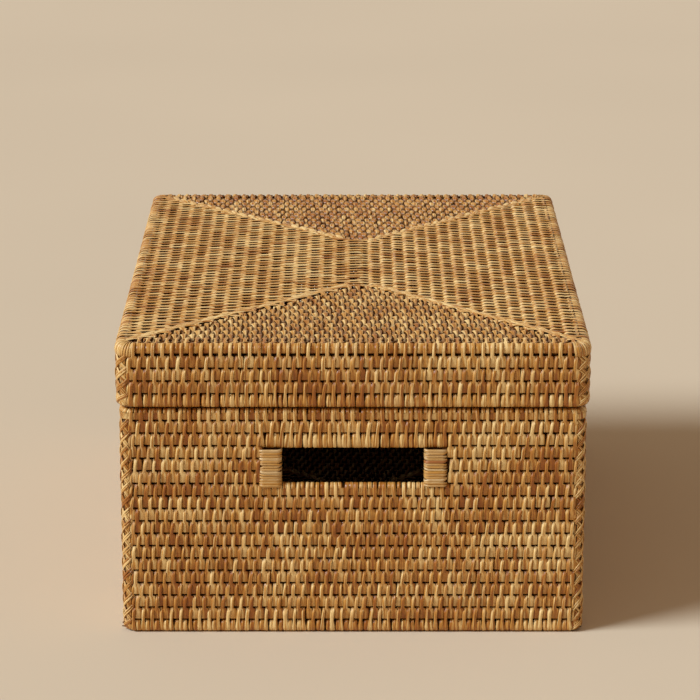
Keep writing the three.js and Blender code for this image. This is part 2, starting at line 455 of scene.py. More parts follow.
# The grain of the cane: noise with so many waves to a millimetre across and along the strand, its detail,
# and the lowest and highest of it that show
STREAK_NOISE = ((1.1, 0.05, 1.0), 2.0, 0.35, 0.65)
FLECK_NOISE = ((0.55, 0.16, 1.0), 3.0, 0.56, 0.72)

# The skin of the cane: how far flecks colour it, how dark the painted shade of a crevice gets, how rough
# the skin is and the streaks make it, and the strength and the height in metres of its relief
FLECK_SHARE = 0.35
DARKEST = 0.9
CANE_ROUGHNESS = 0.31
STREAK_ROUGHNESS = 0.16
CANE_IOR = 1.46
CANE_RELIEF = 0.8
CANE_RELIEF_HEIGHT = 0.00025

# The rods, painted dark as shade in the gaps: waves of noise to a metre, where in it the darkest painted
# shade ends and a dim brown begins, how much of the darkest strands' colour the brown has, and the roughness
ROD_NOISE = 260.0
ROD_SHADE_DARKEST_END = 0.35
ROD_SHADE_BROWN_START = 0.8
ROD_SHADE_BROWN_SHARE = 0.4
ROD_ROUGHNESS = 0.35
ROD_RELIEF = 0.4
ROD_RELIEF_HEIGHT = 0.0002

# The floor: waves of noise to a metre, and how its colour is multiplied at two places in the noise
FLOOR_NOISE = 1.2
FLOOR_TONES = ((0.3, 0.975), (0.7, 1.025))

# Stage: the sun, the sky, what is seen behind the box and before it, where along the direction of sight the
# one gives way to the other, and the camera, in metres and degrees
SUN_STRENGTH = 3.5
SUN_SPREAD = 26.0
SUN_COLOUR = (0.86, 0.94, 1.0)
SUN_PLACE = (-1.9, -0.67, 1.74)
SUN_TARGET = (0.0, 0.0, 0.1)
SKY_COLOUR = (1.0, 0.76, 0.54, 1.0)
SKY_STRENGTH = 0.36
BACKDROP_COLOUR = (0.90, 0.76, 0.55, 1.0)
ROOM_COLOUR = (0.17, 0.11, 0.06, 1.0)
BACKDROP_RANGE = (-0.1, 0.6)
CAMERA_LENS = 159.8
CAMERA_SENSOR = 36.0
CAMERA_PLACE = (-0.0019, -2.1346, 0.7459)
CAMERA_TILT = 16.01


# The outline and the shells

def outline_breaks():
    """Distances along the outline, from the middle of the front wall, at which straights and arcs meet."""
    straight_x = HALF_WIDTH - CORNER_RADIUS
    straight_y = HALF_DEPTH - CORNER_RADIUS
    steps = [straight_x, ARC_LENGTH, 2 * straight_y, ARC_LENGTH, 2 * straight_x]
    steps += [ARC_LENGTH, 2 * straight_y, ARC_LENGTH, straight_x]
    return np.concatenate([[0.0], np.cumsum(steps)])


OUTLINE_BREAKS = outline_breaks()
OUTLINE_LENGTH = OUTLINE_BREAKS[-1]
WALL_CENTRES = np.array([0.0, 0.25, 0.5, 0.75]) * OUTLINE_LENGTH
CORNER_CENTRES = (OUTLINE_BREAKS[1:8:2] + OUTLINE_BREAKS[2:9:2]) / 2


def outline(distance):
    """Point and outward direction of the box's outer outline at a distance along it.

    The outline is a small rectangle grown by the corner radius. Its core point runs along the small
    rectangle and rests in the corners, while the direction turns a quarter in each corner.
    """
    x = HALF_WIDTH - CORNER_RADIUS
    y = HALF_DEPTH - CORNER_RADIUS
    core_x = [0, x, x, x, x, -x, -x, -x, -x, 0]
    core_y = [-y, -y, -y, y, y, y, y, -y, -y, -y]
    quarter_turns = [0, 0, 1, 1, 2, 2, 3, 3, 4, 4]
    wrapped = np.mod(distance, OUTLINE_LENGTH)
    heading = np.interp(wrapped, OUTLINE_BREAKS, quarter_turns) * math.pi / 2
    out_x = np.sin(heading)
    out_y = -np.cos(heading)
    point_x = np.interp(wrapped, OUTLINE_BREAKS, core_x) + CORNER_RADIUS * out_x
    point_y = np.interp(wrapped, OUTLINE_BREAKS, core_y) + CORNER_RADIUS * out_y
    return point_x, point_y, out_x, out_y


def on_outline(distance, outset, z):
    """Points at a distance along the outline, moved outwards by outset, at height z."""
    x, y, out_x, out_y = outline(distance)
    return np.stack([x + out_x * outset, y + out_y * outset, z + 0 * x], axis=-1)


def outer_wall(top):
    """The outer face of a wall: down is measured from its top, rise outwards."""
    return lambda along, down, rise: on_outline(along, rise, top - down)


def inner_wall(top):
    """The inner face of a wall: down is measured from its top, rise into the box. It ends just below
    the wall's top."""
    return lambda along, down, rise: on_outline(
        along, -WALL_THICKNESS - rise, top - np.maximum(down, ROW_GAP)
    )


def panel_face(z, up):
    """A flat face of a panel: down is minus the distance in from the outline, rise along up."""
    return lambda along, down, rise: on_outline(along, down, z + up * rise)


def lid_shell(along, down, rise):
    """The lid's top, rounded edge and skirt unrolled: flat where down is negative, a quarter circle
    round the edge rod, then straight down the skirt."""
    turn = np.clip(down / EDGE_RADIUS, 0, math.pi / 2)
    flat = np.minimum(down, 0)
    drop = np.maximum(down - EDGE_ARC_LENGTH, 0)
    outset = LID_OVERHANG + flat - EDGE_RADIUS + (EDGE_RADIUS + rise) * np.sin(turn)
    z = LID_TOP - EDGE_RADIUS + (EDGE_RADIUS + rise) * np.cos(turn) - drop
    return on_outline(along, outset, z)


# Meshes

def swept_faces(rods, rings, sides, closed):
    """Quads of rods made of rings. A closed rod runs back into its first ring; an open one has ends."""
    spans = rings if closed else rings - 1
    ring = np.arange(spans)[:, None]
    side = np.arange(sides)[None, :]
    following = (side + 1) % sides
    this_ring = ring * sides
    next_ring = (ring + 1) % rings * sides
    faces = np.stack(
        [this_ring + side, this_ring + following, next_ring + following, next_ring + side], axis=-1
    ).reshape(-1, 4)
    if not closed:
        step = np.arange(sides // 2 - 1)
        first_end = np.stack([step, sides - 1 - step, sides - 2 - step, step + 1], axis=-1)
        last_end = first_end[:, ::-1] + (rings - 1) * sides
        faces = np.concatenate([faces, first_end, last_end])
    starts = np.arange(rods)[:, None, None] * rings * sides
    return (faces[None] + starts).reshape(-1, 4)


def merge_meshes(parts):
    """Points and faces of several (points, faces) pairs as one pair."""
    points = np.concatenate([part[0] for part in parts])
    starts = np.cumsum([0] + [len(part[0]) for part in parts[:-1]])
    faces = np.concatenate([part[1] + start for part, start in zip(parts, starts)])
    return points, faces


def make_mesh(name, points, faces, material):
    """A smooth mesh object of quads, from points in millimetres."""
    mesh = bpy.data.meshes.new(name)
    mesh.vertices.add(len(points))
    mesh.vertices.foreach_set("co", (points * MM).astype(np.float32).ravel())
    mesh.loops.add(faces.size)
    mesh.loops.foreach_set("vertex_index", faces.astype(np.int32).ravel())
    mesh.polygons.add(len(faces))
    mesh.polygons.foreach_set("loop_start", np.arange(0, faces.size, 4, dtype=np.int32))
    mesh.polygons.foreach_set("use_smooth", np.ones(len(faces), dtype=bool))
    mesh.update(calc_edges=True)
    mesh.materials.append(material)
    piece = bpy.data.objects.new(name, mesh)
    bpy.context.scene.collection.objects.link(piece)
    return piece


def put_field(piece, name, values):
    """A value or a vector at every point of a piece's mesh, for its material to read."""
    kind, key = ("FLOAT", "value") if values.ndim == 1 else ("FLOAT_VECTOR", "vector")
    field = piece.data.attributes.new(name, kind, "POINT")
    field.data.foreach_set(key, values.astype(np.float32).ravel())


def finish_piece(piece, body, slot, *nodes):
    """Hangs a piece on its body and hides the CAD nodes that it stands for. Its slot is not used."""
    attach(piece, body)
    if nodes:
        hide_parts(*nodes)


# Knots of a strand

def shifted(knots, rows=0.0, rise=0.0, side=0.0):
    """The same strand moved by some rows, a rise and a sideways shift."""
    return knots + np.array([rows, rise, 0.0, side, 0.0])


def leaning(knots, lean):
    """The same strand leaning sideways by that much for each row."""
    return knots + np.outer(knots[:, 0] - knots[0, 0], [0.0, 0.0, 0.0, lean, 0.0])


def narrower(knots, share):
    """The same strand with its width multiplied by a share."""
    return knots * np.array([1.0, 1.0, share, 1.0, 1.0])


def mirrored(knots):
    """The same strand with its sideways shift turned round."""
    return knots * np.array([1.0, 1.0, 1.0, -1.0, 1.0])


def finer(knots):
    """The same strand with a knot added halfway between each two, so that it follows a rounded edge."""
    count = len(knots)
    steps = np.linspace(0, count - 1, 2 * count - 1)
    return np.stack([np.interp(steps, np.arange(count), column) for column in knots.T], axis=-1)


def rim_loop(angles, width, first_row, thickness, extra):
    """Knots that lie on an oval round the rod of a row: the row and the rise of each angle.

    The angle is 0 on the outer face and a right angle at the rod's upper edge. The oval fits a wall of
    that thickness, and reaches past the row's edge by the extra.
    """
    half_height = (ROW_HEIGHT / 2 - RIM_INSIDE + extra) / ROW_PITCH
    half_width = thickness / 2 - RIM_INSIDE
    row = first_row + 0.5 - half_height * np.sin(angles)
    rise = half_width * np.cos(angles) - thickness / 2
    return np.stack([row, rise, np.full_like(row, width), 0 * row, 0 * row], axis=-1)


def over_and_cross(extra=0.0):
    """A strand over a rim that runs on across the next row."""
    return np.concatenate([rim_loop(OVER_ANGLES, OVER_WIDTH, 0, WALL_THICKNESS, extra), CROSSING_END])


def over_only(extra=0.0):
    """A strand over a rim that ends in the gap below it."""
    loop = rim_loop(OVER_ANGLES[:-1], OVER_WIDTH, 0, WALL_THICKNESS, extra)
    return np.concatenate([shifted(loop, rise=-BESIDE_SINK), shifted(CROSSING_REST, -1)])


def cross_and_under(thickness=WALL_THICKNESS, extra=0.0):
    """A strand that crosses one row and wraps under the edge of the next."""
    loop = rim_loop(UNDER_ANGLES, UNDER_WIDTH, 1, thickness, extra)
    return np.concatenate([CROSSING_START, UNDER_BRIDGE, shifted(loop, rise=-UNDER_SINK)])


def under_only(thickness=WALL_THICKNESS, extra=0.0):
    """A short strand that comes up above the last row, bulges and wraps under its edge."""
    loop = rim_loop(UNDER_ANGLES, UNDER_WIDTH, 0, thickness, extra)
    return np.concatenate([EDGE_START, shifted(loop, rise=-UNDER_ONLY_SINK)])


# Strands of split cane

class StrandBundle:
    """Collects strands of cane that share their random draws, and makes one mesh of them."""

    def __init__(self, seed):
        self.rng = np.random.default_rng(seed)
        self.points = []
        self.faces = []
        self.fields = {"tone": [], "warmth": [], "depth": [], "fibre": []}
        self.count = 0

    def add(
        self, points, share, length, rise, tone, warmth, flipped=False, closed=False, breadth=USUAL_WIDTH
    ):
        """Adds tubes: points has the shape (strands, rings, sides, 3). A closed one runs back into its
        first ring, and the others have flat ends. share is the place across the strand, from -0.5 to
        0.5, and breadth the width over which the grain is spread. The strand gets painted shade, darker
        as it lies lower."""
        strands, rings, sides, _ = points.shape
        shape = (strands, rings, sides)
        faces = swept_faces(strands, rings, sides, closed) + self.count
        lane = LANE_STEP * np.arange(strands)[:, None, None]
        fibre = [np.broadcast_to(value, shape) for value in (share * breadth, length, lane)]
        # Painted shade: the strand darkens towards the crevice colour as it sinks below DARK_START
        depth = np.clip((DARK_START - rise) / DARK_SPAN, 0, 1)
        self.points.append(points.reshape(-1, 3))
        self.faces.append(faces if flipped else faces[:, ::-1])
        self.fields["fibre"].append(np.stack(fibre, axis=-1).reshape(-1, 3))
        for name, value in (
            ("tone", tone[:, None, None]), ("warmth", warmth[:, None, None]), ("depth", depth)
        ):
            self.fields[name].append(np.broadcast_to(value, shape).ravel())
        self.count += strands * rings * sides

    def make(self, name, material):
        """The mesh object, with the fields that its material reads."""
        piece = make_mesh(name, np.concatenate(self.points), np.concatenate(self.faces), material)
        for field, values in self.fields.items():
            put_field(piece, field, np.concatenate(values))
        return piece


def patchy_tone(rng, course, along, patchiness):
    """A tone from 0 to 1 for each strand: noise that drifts along each row, eased between random
    values a patch apart, with a grain of its own for each strand."""
    span = (along - along.min()) / TONE_PATCH
    cells = int(span.max()) + 2
    grid = rng.random((int(course.max()) + 1, cells + 1))
    cell = span.astype(int)
    part = span - cell
    part = part * part * (3 - 2 * part)
    drift = grid[course, cell] * (1 - part) + grid[course, cell + 1] * part
    own = OWN_TONE * patchiness * rng.standard_normal(len(along))
    return np.clip(0.5 + patchiness * (drift - 0.5) + own, 0, 1)


def distance_down(row, bounds):
    """Distances down a shell of rows that may be fractions. Beyond the ends the last row's pitch goes on."""
    count = len(bounds) - 1
    above = np.minimum(row, 0) * (bounds[1] - bounds[0])
    below = np.maximum(row - count, 0) * (bounds[-1] - bounds[-2])
    return np.interp(row, np.arange(count + 1), bounds) + above + below


def strand_frames(along, rise, down):
    """Unit vectors of a strand's breadth and height at each knot, in parts along the outline, out of
    the face and down it.

    The breadth is the outline's direction squared to the strand's run, and the height is square to
    both. The run is the difference between the neighbouring knots.
    """
    run = np.gradient(np.stack([along, rise, down], axis=-1), axis=1)
    run = run / np.linalg.norm(run, axis=-1, keepdims=True)
    breadth = np.array([1.0, 0.0, 0.0]) - run[..., :1] * run
    breadth = breadth / np.linalg.norm(breadth, axis=-1, keepdims=True)
    return breadth, np.cross(run, breadth)


def lay_strands(
    bundle, shell, bounds, knots, course, along, flipped=False, section=FULL_SECTION, paler=0.0,
    patchiness=WALL_PATCHINESS, shaded=True,
):
    """Lays one strand for each entry of course and along.

    The knots give the middle line in rows, rises and shifts. The bounds turn rows into distances down
    the shell. The section is carried along that line, its breadth and height in the line's own frame,
    and skewed so that one edge runs ahead of the other. A shaded strand gets painted shade, darker as it
    sinks in.
    """
    if len(course) == 0:
        return
    rng = bundle.rng
    sizes = bpy.context.scene.rattan_sizes
    each = (len(course), 1)
    row, height_of_knot, width_of_knot, shift, skew = knots.T
    tone = np.clip(patchy_tone(rng, course, along, patchiness) + paler, 0, 1)
    cast = np.clip(WARMEST - WARMTH_FALL * (1 - rng.random(len(course))), 0, 1)
    warmth = np.clip(cast + DARK_WARMTH * (1 - tone) ** 2, 0, 1)
    down = distance_down(course[:, None] + row, bounds)
    rise = height_of_knot - RISE_SPREAD * np.abs(rng.standard_normal(each))
    lean = LEAN_SPREAD * rng.standard_normal(each) * (row - 1)
    middle = along[:, None] + shift + lean
    width_share = np.clip(1 + WIDTH_SPREAD * rng.standard_normal(each), *WIDTH_LIMITS)
    width = width_of_knot * width_share * sizes.strand_width / USUAL_WIDTH
    breadth, height = strand_frames(middle, rise, down)
    share = section[:, 0]
    across = share * width[:, :, None]
    above = section[:, 1] * sizes.strand_thickness
    places = np.stack([middle, rise, down], axis=-1)[:, :, None, :]
    places = places + across[..., None] * breadth[:, :, None, :] + above[:, None] * height[:, :, None, :]
    places[..., 2] -= skew[:, None] * across
    points = shell(places[..., 0], places[..., 2], places[..., 1])
    steps = np.hypot(np.gradient(down, axis=1), np.gradient(rise, axis=1))
    length = np.cumsum(steps, axis=1)[:, :, None]
    # Painted shade: only shaded strands pass their rise on, so that they darken as they sink in
    sunk = places[..., 1] if shaded else 0 * across
    bundle.add(points, share, length, sunk, tone, warmth, flipped)


def strand_places(rng, courses, low, high, spacing):
    """Course and place of every strand in some rows of one wall. Each row is set off a little less than
    half a spacing from the one above. low and high are the ends of the row, one for each course."""
    course_list = []
    along_list = []
    for course, start, end in zip(courses, low, high):
        offset = -ROW_SHIFT * spacing * course
        along = np.arange(start + (offset - start) % spacing, end, spacing)
        along_list.append(along + PLACE_SPREAD * rng.standard_normal(len(along)))
        course_list.append(np.full(len(along), course))
    return np.concatenate(course_list), np.concatenate(along_list)


# Materials

def opaque(colour, share=1.0):
    """A colour with full alpha, its parts multiplied by a share."""
    return tuple(share * value for value in colour) + (1.0,)


def add_node(tree, kind, place, inputs=None, **settings):
    """A shader node of that kind, at a place in the node editor, with its settings. Each of its inputs
    is a socket to link or a value to set."""
    node = tree.nodes.new(kind)
    node.location = place
    for key, value in settings.items():
        setattr(node, key, value)
    for key, value in (inputs or {}).items():
        if isinstance(value, bpy.types.NodeSocket):
            tree.links.new(value, node.inputs[key])
        else:
            node.inputs[key].default_value = value
    return node


def mix_colours(tree, place, factor, first, second):
    """A colour mix. Its sockets 6 and 7 take the two colours."""
    node = add_node(tree, "ShaderNodeMix", place, {0: factor, 6: first, 7: second}, data_type="RGBA")
    return node.outputs[2]


def calculate(tree, place, operation, first, second=0.0):
    """A sum, product or the like of two values."""
    return add_node(tree, "ShaderNodeMath", place, {0: first, 1: second}, operation=operation).outputs[0]


def mask(tree, place, value, low, high):
    """A value made 0 up to the low end of a range and 1 from its high end."""
    inputs = {"Value": value, "From Min": low, "From Max": high}
    return add_node(tree, "ShaderNodeMapRange", place, inputs).outputs["Result"]


def ramp(tree, place, factor, stops):
    """A colour ramp through (position, colour) stops."""
    node = add_node(tree, "ShaderNodeValToRGB", place, {"Fac": factor})
    elements = node.color_ramp.elements
    while len(elements) < len(stops):
        elements.new(0.5)
    for element, (position, colour) in zip(elements, stops):
        element.position = position
        element.color = colour
    return node.outputs["Color"]


def read_field(tree, place, name, output="Fac"):
    """One of the fields that put_field has written."""
    node = add_node(tree, "ShaderNodeAttribute", place, attribute_type="GEOMETRY", attribute_name=name)
    return node.outputs[output]


def object_noise(tree, scale, detail):
    """Noise that is fixed to the piece."""
    place = add_node(tree, "ShaderNodeTexCoord", (-900, 0)).outputs["Object"]
    inputs = {"Vector": place, "Scale": scale, "Detail": detail}
    return add_node(tree, "ShaderNodeTexNoise", (-650, 0), inputs).outputs["Fac"]


def bump_normal(tree, place, height, strength, distance):
    """The normal of a surface with small bumps. The distance is in metres."""
    inputs = {"Height": height, "Strength": strength, "Distance": distance}
    return add_node(tree, "ShaderNodeBump", place, inputs).outputs["Normal"]


def add_surface(tree, inputs):
    """The shader of a material and its output."""
    shader = add_node(tree, "ShaderNodeBsdfPrincipled", (350, 100), inputs)
    add_node(tree, "ShaderNodeOutputMaterial", (650, 100), {"Surface": shader.outputs["BSDF"]})


def new_material(name):
    """A material with an empty node tree."""
    material = bpy.data.materials.new(name)
    material.use_nodes = True
    material.node_tree.nodes.clear()
    return material


def fibre_noise(tree, level, fibre, stretch, detail, low, high):
    """A mask of noise on the strand's own lengths: across, along and from strand to strand."""
    lengths = add_node(
        tree, "ShaderNodeVectorMath", (-650, level), {0: fibre, 1: stretch}, operation="MULTIPLY"
    )
    inputs = {"Vector": lengths.outputs[0], "Scale": 1.0, "Detail": detail}
    noise = add_node(tree, "ShaderNodeTexNoise", (-350, level), inputs)
    return mask(tree, (0, level), noise.outputs["Fac"], low, high)


def cane_grain_group():
    """The grain of split cane: streaks that run along the strand, a few dark flecks, and a mask of its two
    edges for painted shade.

    The streaks are noise on the strand's own lengths, drawn out along it, and the tone is how far they
    lighten or darken it. The edges are where the place across the strand is farthest from its middle, and
    they darken it as painted shade between neighbouring strands.
    """
    name = "cane grain"
    if name in bpy.data.node_groups:
        return bpy.data.node_groups[name]
    tree = bpy.data.node_groups.new(name, "ShaderNodeTree")
    tree.interface.new_socket("Fibre", in_out="INPUT", socket_type="NodeSocketVector")
    for socket in ("Streak Strength", "Edge Strength"):
        tree.interface.new_socket(socket, in_out="INPUT", socket_type="NodeSocketFloat")
    for socket in ("Streak", "Tone", "Fleck", "Edge"):
        tree.interface.new_socket(socket, in_out="OUTPUT", socket_type="NodeSocketFloat")
    given = add_node(tree, "NodeGroupInput", (-900, 0)).outputs
    streak = fibre_noise(tree, 150, given["Fibre"], *STREAK_NOISE)
    fleck = fibre_noise(tree, -250, given["Fibre"], *FLECK_NOISE)
    signed = calculate(tree, (150, 300), "SUBTRACT", streak, 0.5)
    tone = calculate(tree, (300, 300), "MULTIPLY", signed, given["Streak Strength"])
    parts = add_node(tree, "ShaderNodeSeparateXYZ", (-650, -500), {0: given["Fibre"]})
    across = calculate(tree, (-350, -500), "ABSOLUTE", parts.outputs["X"])
    # Painted shade between neighbouring strands: a mask of the two edges of a strand
    rim = mask(tree, (0, -500), across, USUAL_WIDTH / 3, USUAL_WIDTH / 2)
    edge = calculate(tree, (300, -500), "MULTIPLY", rim, given["Edge Strength"])
    results = {"Streak": streak, "Tone": tone, "Fleck": fleck, "Edge": edge}
    add_node(tree, "NodeGroupOutput", (500, 0), results)
    return tree


def cane_material(name, shade, middle, light, streak_strength=1.0, edge_strength=0.35):
    """Split cane with its glossy skin: colour from the strand's tone, streaks along the fibre, a
    reddish cast on some strands, and painted shade in the crevices and along the edges of the strands."""
    if name in bpy.data.materials:
        return bpy.data.materials[name]
    material = new_material(name)
    colours = bpy.context.scene.rattan_colours
    tree = material.node_tree
    inputs = {
        "Fibre": read_field(tree, (-1500, 0), "fibre", "Vector"),
        "Streak Strength": streak_strength,
        "Edge Strength": edge_strength,
    }
    grain = add_node(tree, "ShaderNodeGroup", (-1250, 0), inputs, node_tree=cane_grain_group()).outputs
    tone = calculate(tree, (-700, 200), "ADD", read_field(tree, (-1500, 250), "tone"), grain["Tone"])
    stops = [(0.0, opaque(shade)), (0.5, opaque(middle)), (1.0, opaque(light))]
    base = ramp(tree, (-550, 200), tone, stops)
    warmth = read_field(tree, (-1500, -250), "warmth")
    reddish = mix_colours(tree, (-250, 150), warmth, base, opaque(colours.reddish))
    fleck = calculate(tree, (-400, -100), "MULTIPLY", grain["Fleck"], FLECK_SHARE)
    flecked = mix_colours(tree, (-100, 100), fleck, reddish, opaque(colours.fleck))
    # Painted shade: depth and edge darken the colour towards the crevice shade colour
    depth = read_field(tree, (-1500, -450), "depth")
    darkness = calculate(tree, (-400, -350), "ADD", depth, grain["Edge"])
    capped = calculate(tree, (-250, -300), "MINIMUM", darkness, DARKEST)
    rough_streak = calculate(tree, (-100, -150), "MULTIPLY", grain["Streak"], STREAK_ROUGHNESS)
    add_surface(tree, {
        "Base Color": mix_colours(tree, (50, 50), capped, flecked, opaque(colours.crevice)),
        "Roughness": calculate(tree, (50, -150), "ADD", rough_streak, CANE_ROUGHNESS),
        "IOR": CANE_IOR,
        "Normal": bump_normal(tree, (150, -300), grain["Streak"], CANE_RELIEF, CANE_RELIEF_HEIGHT),
    })
    return material


def honey_cane():
    """The honey-brown cane of the weave."""
    colours = bpy.context.scene.rattan_colours
    return cane_material("honey_cane", colours.shade, colours.middle, colours.light)


def pale_cane():
    """The straw-coloured cane wrapped round the binders."""
    colours = bpy.context.scene.rattan_colours
    return cane_material(
        "pale_cane", colours.middle, colours.pale, colours.palest, streak_strength=0.7, edge_strength=0.3
    )


def lath_cane():
    """The split wood of the laths, straw-coloured like the binders, with no painted shade at the edges."""
    colours = bpy.context.scene.rattan_colours
    return cane_material(
        "lath_cane", colours.middle, colours.pale, colours.palest, streak_strength=0.6, edge_strength=0.0
    )


def rod_material():
    """The rods inside the weave, painted dark as the shade that falls in the gaps between the strands."""
    name = "shaded_rod"
    if name in bpy.data.materials:
        return bpy.data.materials[name]
    material = new_material(name)
    colours = bpy.context.scene.rattan_colours
    tree = material.node_tree
    # Painted shade: the rods run from the crevice shade colour to a dim brown, so that the gaps look shaded
    noise = object_noise(tree, ROD_NOISE, 4.0)
    shaded_brown = opaque(colours.shade, ROD_SHADE_BROWN_SHARE)
    stops = [(ROD_SHADE_DARKEST_END, opaque(colours.crevice)), (ROD_SHADE_BROWN_START, shaded_brown)]
    add_surface(tree, {
        "Base Color": ramp(tree, (-400, 0), noise, stops),
        "Roughness": calculate(tree, (-400, -250), "ADD", noise, ROD_ROUGHNESS),
        "Specular IOR Level": 0.12,
        "Normal": bump_normal(tree, (-150, -300), noise, ROD_RELIEF, ROD_RELIEF_HEIGHT),
    })
    return material


def floor_material():
    """A plain pale floor with a hint of tone across it."""
    name = "pale_floor"
    if name in bpy.data.materials:
        return bpy.data.materials[name]
    material = new_material(name)
    colour = bpy.context.scene.rattan_colours.floor
    tree = material.node_tree
    stops = [(position, opaque(colour, share)) for position, share in FLOOR_TONES]
    add_surface(tree, {
        "Base Color": ramp(tree, (-400, 0), object_noise(tree, FLOOR_NOISE, 2.0), stops),
        "Roughness": 0.9,
        "Specular IOR Level": 0.1,
    })
    return material


# Rods under the weave

def rod_section(half_out, half_up):
    """An oval: out and up of each point, clockwise seen along the rod."""
    angle = np.linspace(0, -2 * math.pi, ROD_SIDES, endpoint=False)
    return half_out * np.cos(angle), half_up * np.sin(angle)


def ring_rods(along, levels, half_heights, closed, overhang=0.0):
    """Rods along the wall, one for each level: an oval section carried along the outline."""
    out, up = rod_section(ROD_HALF_OUT + overhang / 2, 1.0)
    grid_along = along[None, :, None] + 0 * levels[:, None, None] + 0 * out
    grid_z = levels[:, None, None] + half_heights[:, None, None] * up
    points = on_outline(grid_along, WALL_MIDDLE + overhang / 2 + out, grid_z)
    return points.reshape(-1, 3), swept_faces(len(levels), len(along), len(out), closed)


def outline_samples(start, end):
    """Distances from start to end that are close together in the corners and at the breaks elsewhere."""
    breaks = np.concatenate([OUTLINE_BREAKS[:-1], OUTLINE_BREAKS + OUTLINE_LENGTH])
    turns = np.linspace(0, ARC_LENGTH, ROD_ARC_STEPS + 1)[1:-1] - ARC_LENGTH / 2
    corners = np.concatenate([CORNER_CENTRES, CORNER_CENTRES + OUTLINE_LENGTH])
    inner = np.concatenate([breaks, (corners[:, None] + turns).ravel()])
    inner = inner[(inner > start) & (inner < end)]
    return np.unique(np.round(np.concatenate([[start, end], inner]), 6))


def row_middle(first_top, row):
    """Height of the middle of a row, counted from 0 at the top."""
    return first_top - ROW_HEIGHT / 2 - row * ROW_PITCH


def rod_half_heights(rows, edges):
    """Half the height of each row's rod. A rod at an edge is smaller, as cane runs right round it."""
    return np.where(np.isin(rows, edges), EDGE_ROD_HALF_UP, ROD_HALF_UP)


def body_rod_mesh():
    """All rods of the body: whole rings, and two halves where the hand holds cut them."""
    ring = outline_samples(0, OUTLINE_LENGTH)[:-1]
    rows = np.arange(BODY_ROWS)
    is_cut = (rows >= FIRST_CUT_ROW) & (rows <= LAST_CUT_ROW)
    levels = row_middle(BODY_TOP, rows)
    half_heights = rod_half_heights(rows, [0, FIRST_CUT_ROW - 1, LAST_CUT_ROW + 1, LAST_ROW])
    parts = [ring_rods(ring, levels[~is_cut], half_heights[~is_cut], True)]
    end = BINDER_END - ROD_END_INSIDE
    half_length = OUTLINE_LENGTH / 2
    for path in (
        outline_samples(end, half_length - end),
        outline_samples(half_length + end, OUTLINE_LENGTH - end),
    ):
        parts.append(ring_rods(path, levels[is_cut], half_heights[is_cut], False))
    return merge_meshes(parts)


def lid_ring_mesh():
    """The ring rods of the lid's skirt. The top one carries the rounded edge."""
    ring = outline_samples(0, OUTLINE_LENGTH)[:-1]
    rows = np.arange(LID_ROWS)
    levels = row_middle(LID_TOP, rows)
    half_heights = rod_half_heights(rows, [0, LID_ROWS - 1])
    levels[0] -= EDGE_ROD_DROP
    foot_extra = (levels[-1] - ROW_HEIGHT / 2 - LID_FOOT) / 2
    levels[-1] -= foot_extra
    half_heights[-1] += foot_extra
    return ring_rods(ring, levels, half_heights, True, LID_OVERHANG)


def panel_rod_mesh(z_middle):
    """The mitred rods of a panel: an oval section carried round rectangles that close on the ridge."""
    index = np.arange(PANEL_RODS)
    half_out = (END_PITCH - PANEL_ROD_GAP) / 2
    out, up = rod_section(half_out, ROD_HALF_OUT)
    inset = PANEL_INSET + half_out + PANEL_ROD_SETBACK
    left = -HALF_WIDTH + inset + index * LEFT_PITCH
    right = HALF_WIDTH - inset - index * RIGHT_PITCH
    end = HALF_DEPTH - inset - index * END_PITCH
    corner_x = np.stack([left, right, right, left], axis=-1)
    corner_y = np.stack([-end, -end, end, end], axis=-1)
    away_x = np.array([-1, 1, 1, -1])
    away_y = np.array([-1, -1, 1, 1])
    x = corner_x[:, :, None] + away_x[:, None] * out
    y = corner_y[:, :, None] + away_y[:, None] * out
    frames = np.stack([x, y, z_middle + up + 0 * x], axis=-1).reshape(-1, 3)
    ridge_end = HALF_DEPTH - PANEL_INSET - PANEL_RODS * END_PITCH
    ridge_y = np.array([[-ridge_end], [ridge_end]]) + 0 * out
    ridge_x = RIDGE_MIDDLE + out * RIDGE_WIDTH / END_PITCH + 0 * ridge_y
    ridge = np.stack([ridge_x, ridge_y, z_middle + up + 0 * ridge_y], axis=-1).reshape(-1, 3)
    return merge_meshes([
        (frames, swept_faces(PANEL_RODS, 4, len(out), True)),
        (ridge, swept_faces(1, 2, len(out), False)),
    ])


# Weave on the walls

def is_side(wall):
    """True for the left and the right wall, which have no hand hold and run along the ridge."""
    return WALLS[wall] in ("left", "right")


def wall_strands(rng, wall, rows):
    """Course and place of every strand in some rows of a wall, between the plaits of its two corners.
    Places are counted from the wall's middle."""
    reach = WALL_REACH[wall] - CORNER_RADIUS + ARC_LENGTH / 2 - PLAIT_REACH
    ends = np.full(len(rows), reach)
    return strand_places(rng, rows, -ends, ends, STRAND_SPACING)


def row_bounds(rows, height):
    """Distances down a wall of that height at which its rows begin and end, in the middle of the gaps."""
    bounds = np.arange(rows + 1) * ROW_PITCH - ROW_GAP / 2
    bounds[0] = 0
    bounds[-1] = height
    return bounds


def body_strands(bundle, wall):
    """Course and place of every strand on a body wall, and which of them lie over a hand hold or its
    binders, and which of those would start in its opening."""
    course, local = wall_strands(bundle.rng, wall, np.arange(BODY_ROWS))
    over_hold = (np.abs(local) < BINDER_END) & (not is_side(wall))
    in_hold = over_hold & (course >= FIRST_CUT_ROW) & (course <= LAST_CUT_ROW)
    return course, local, over_hold, in_hold


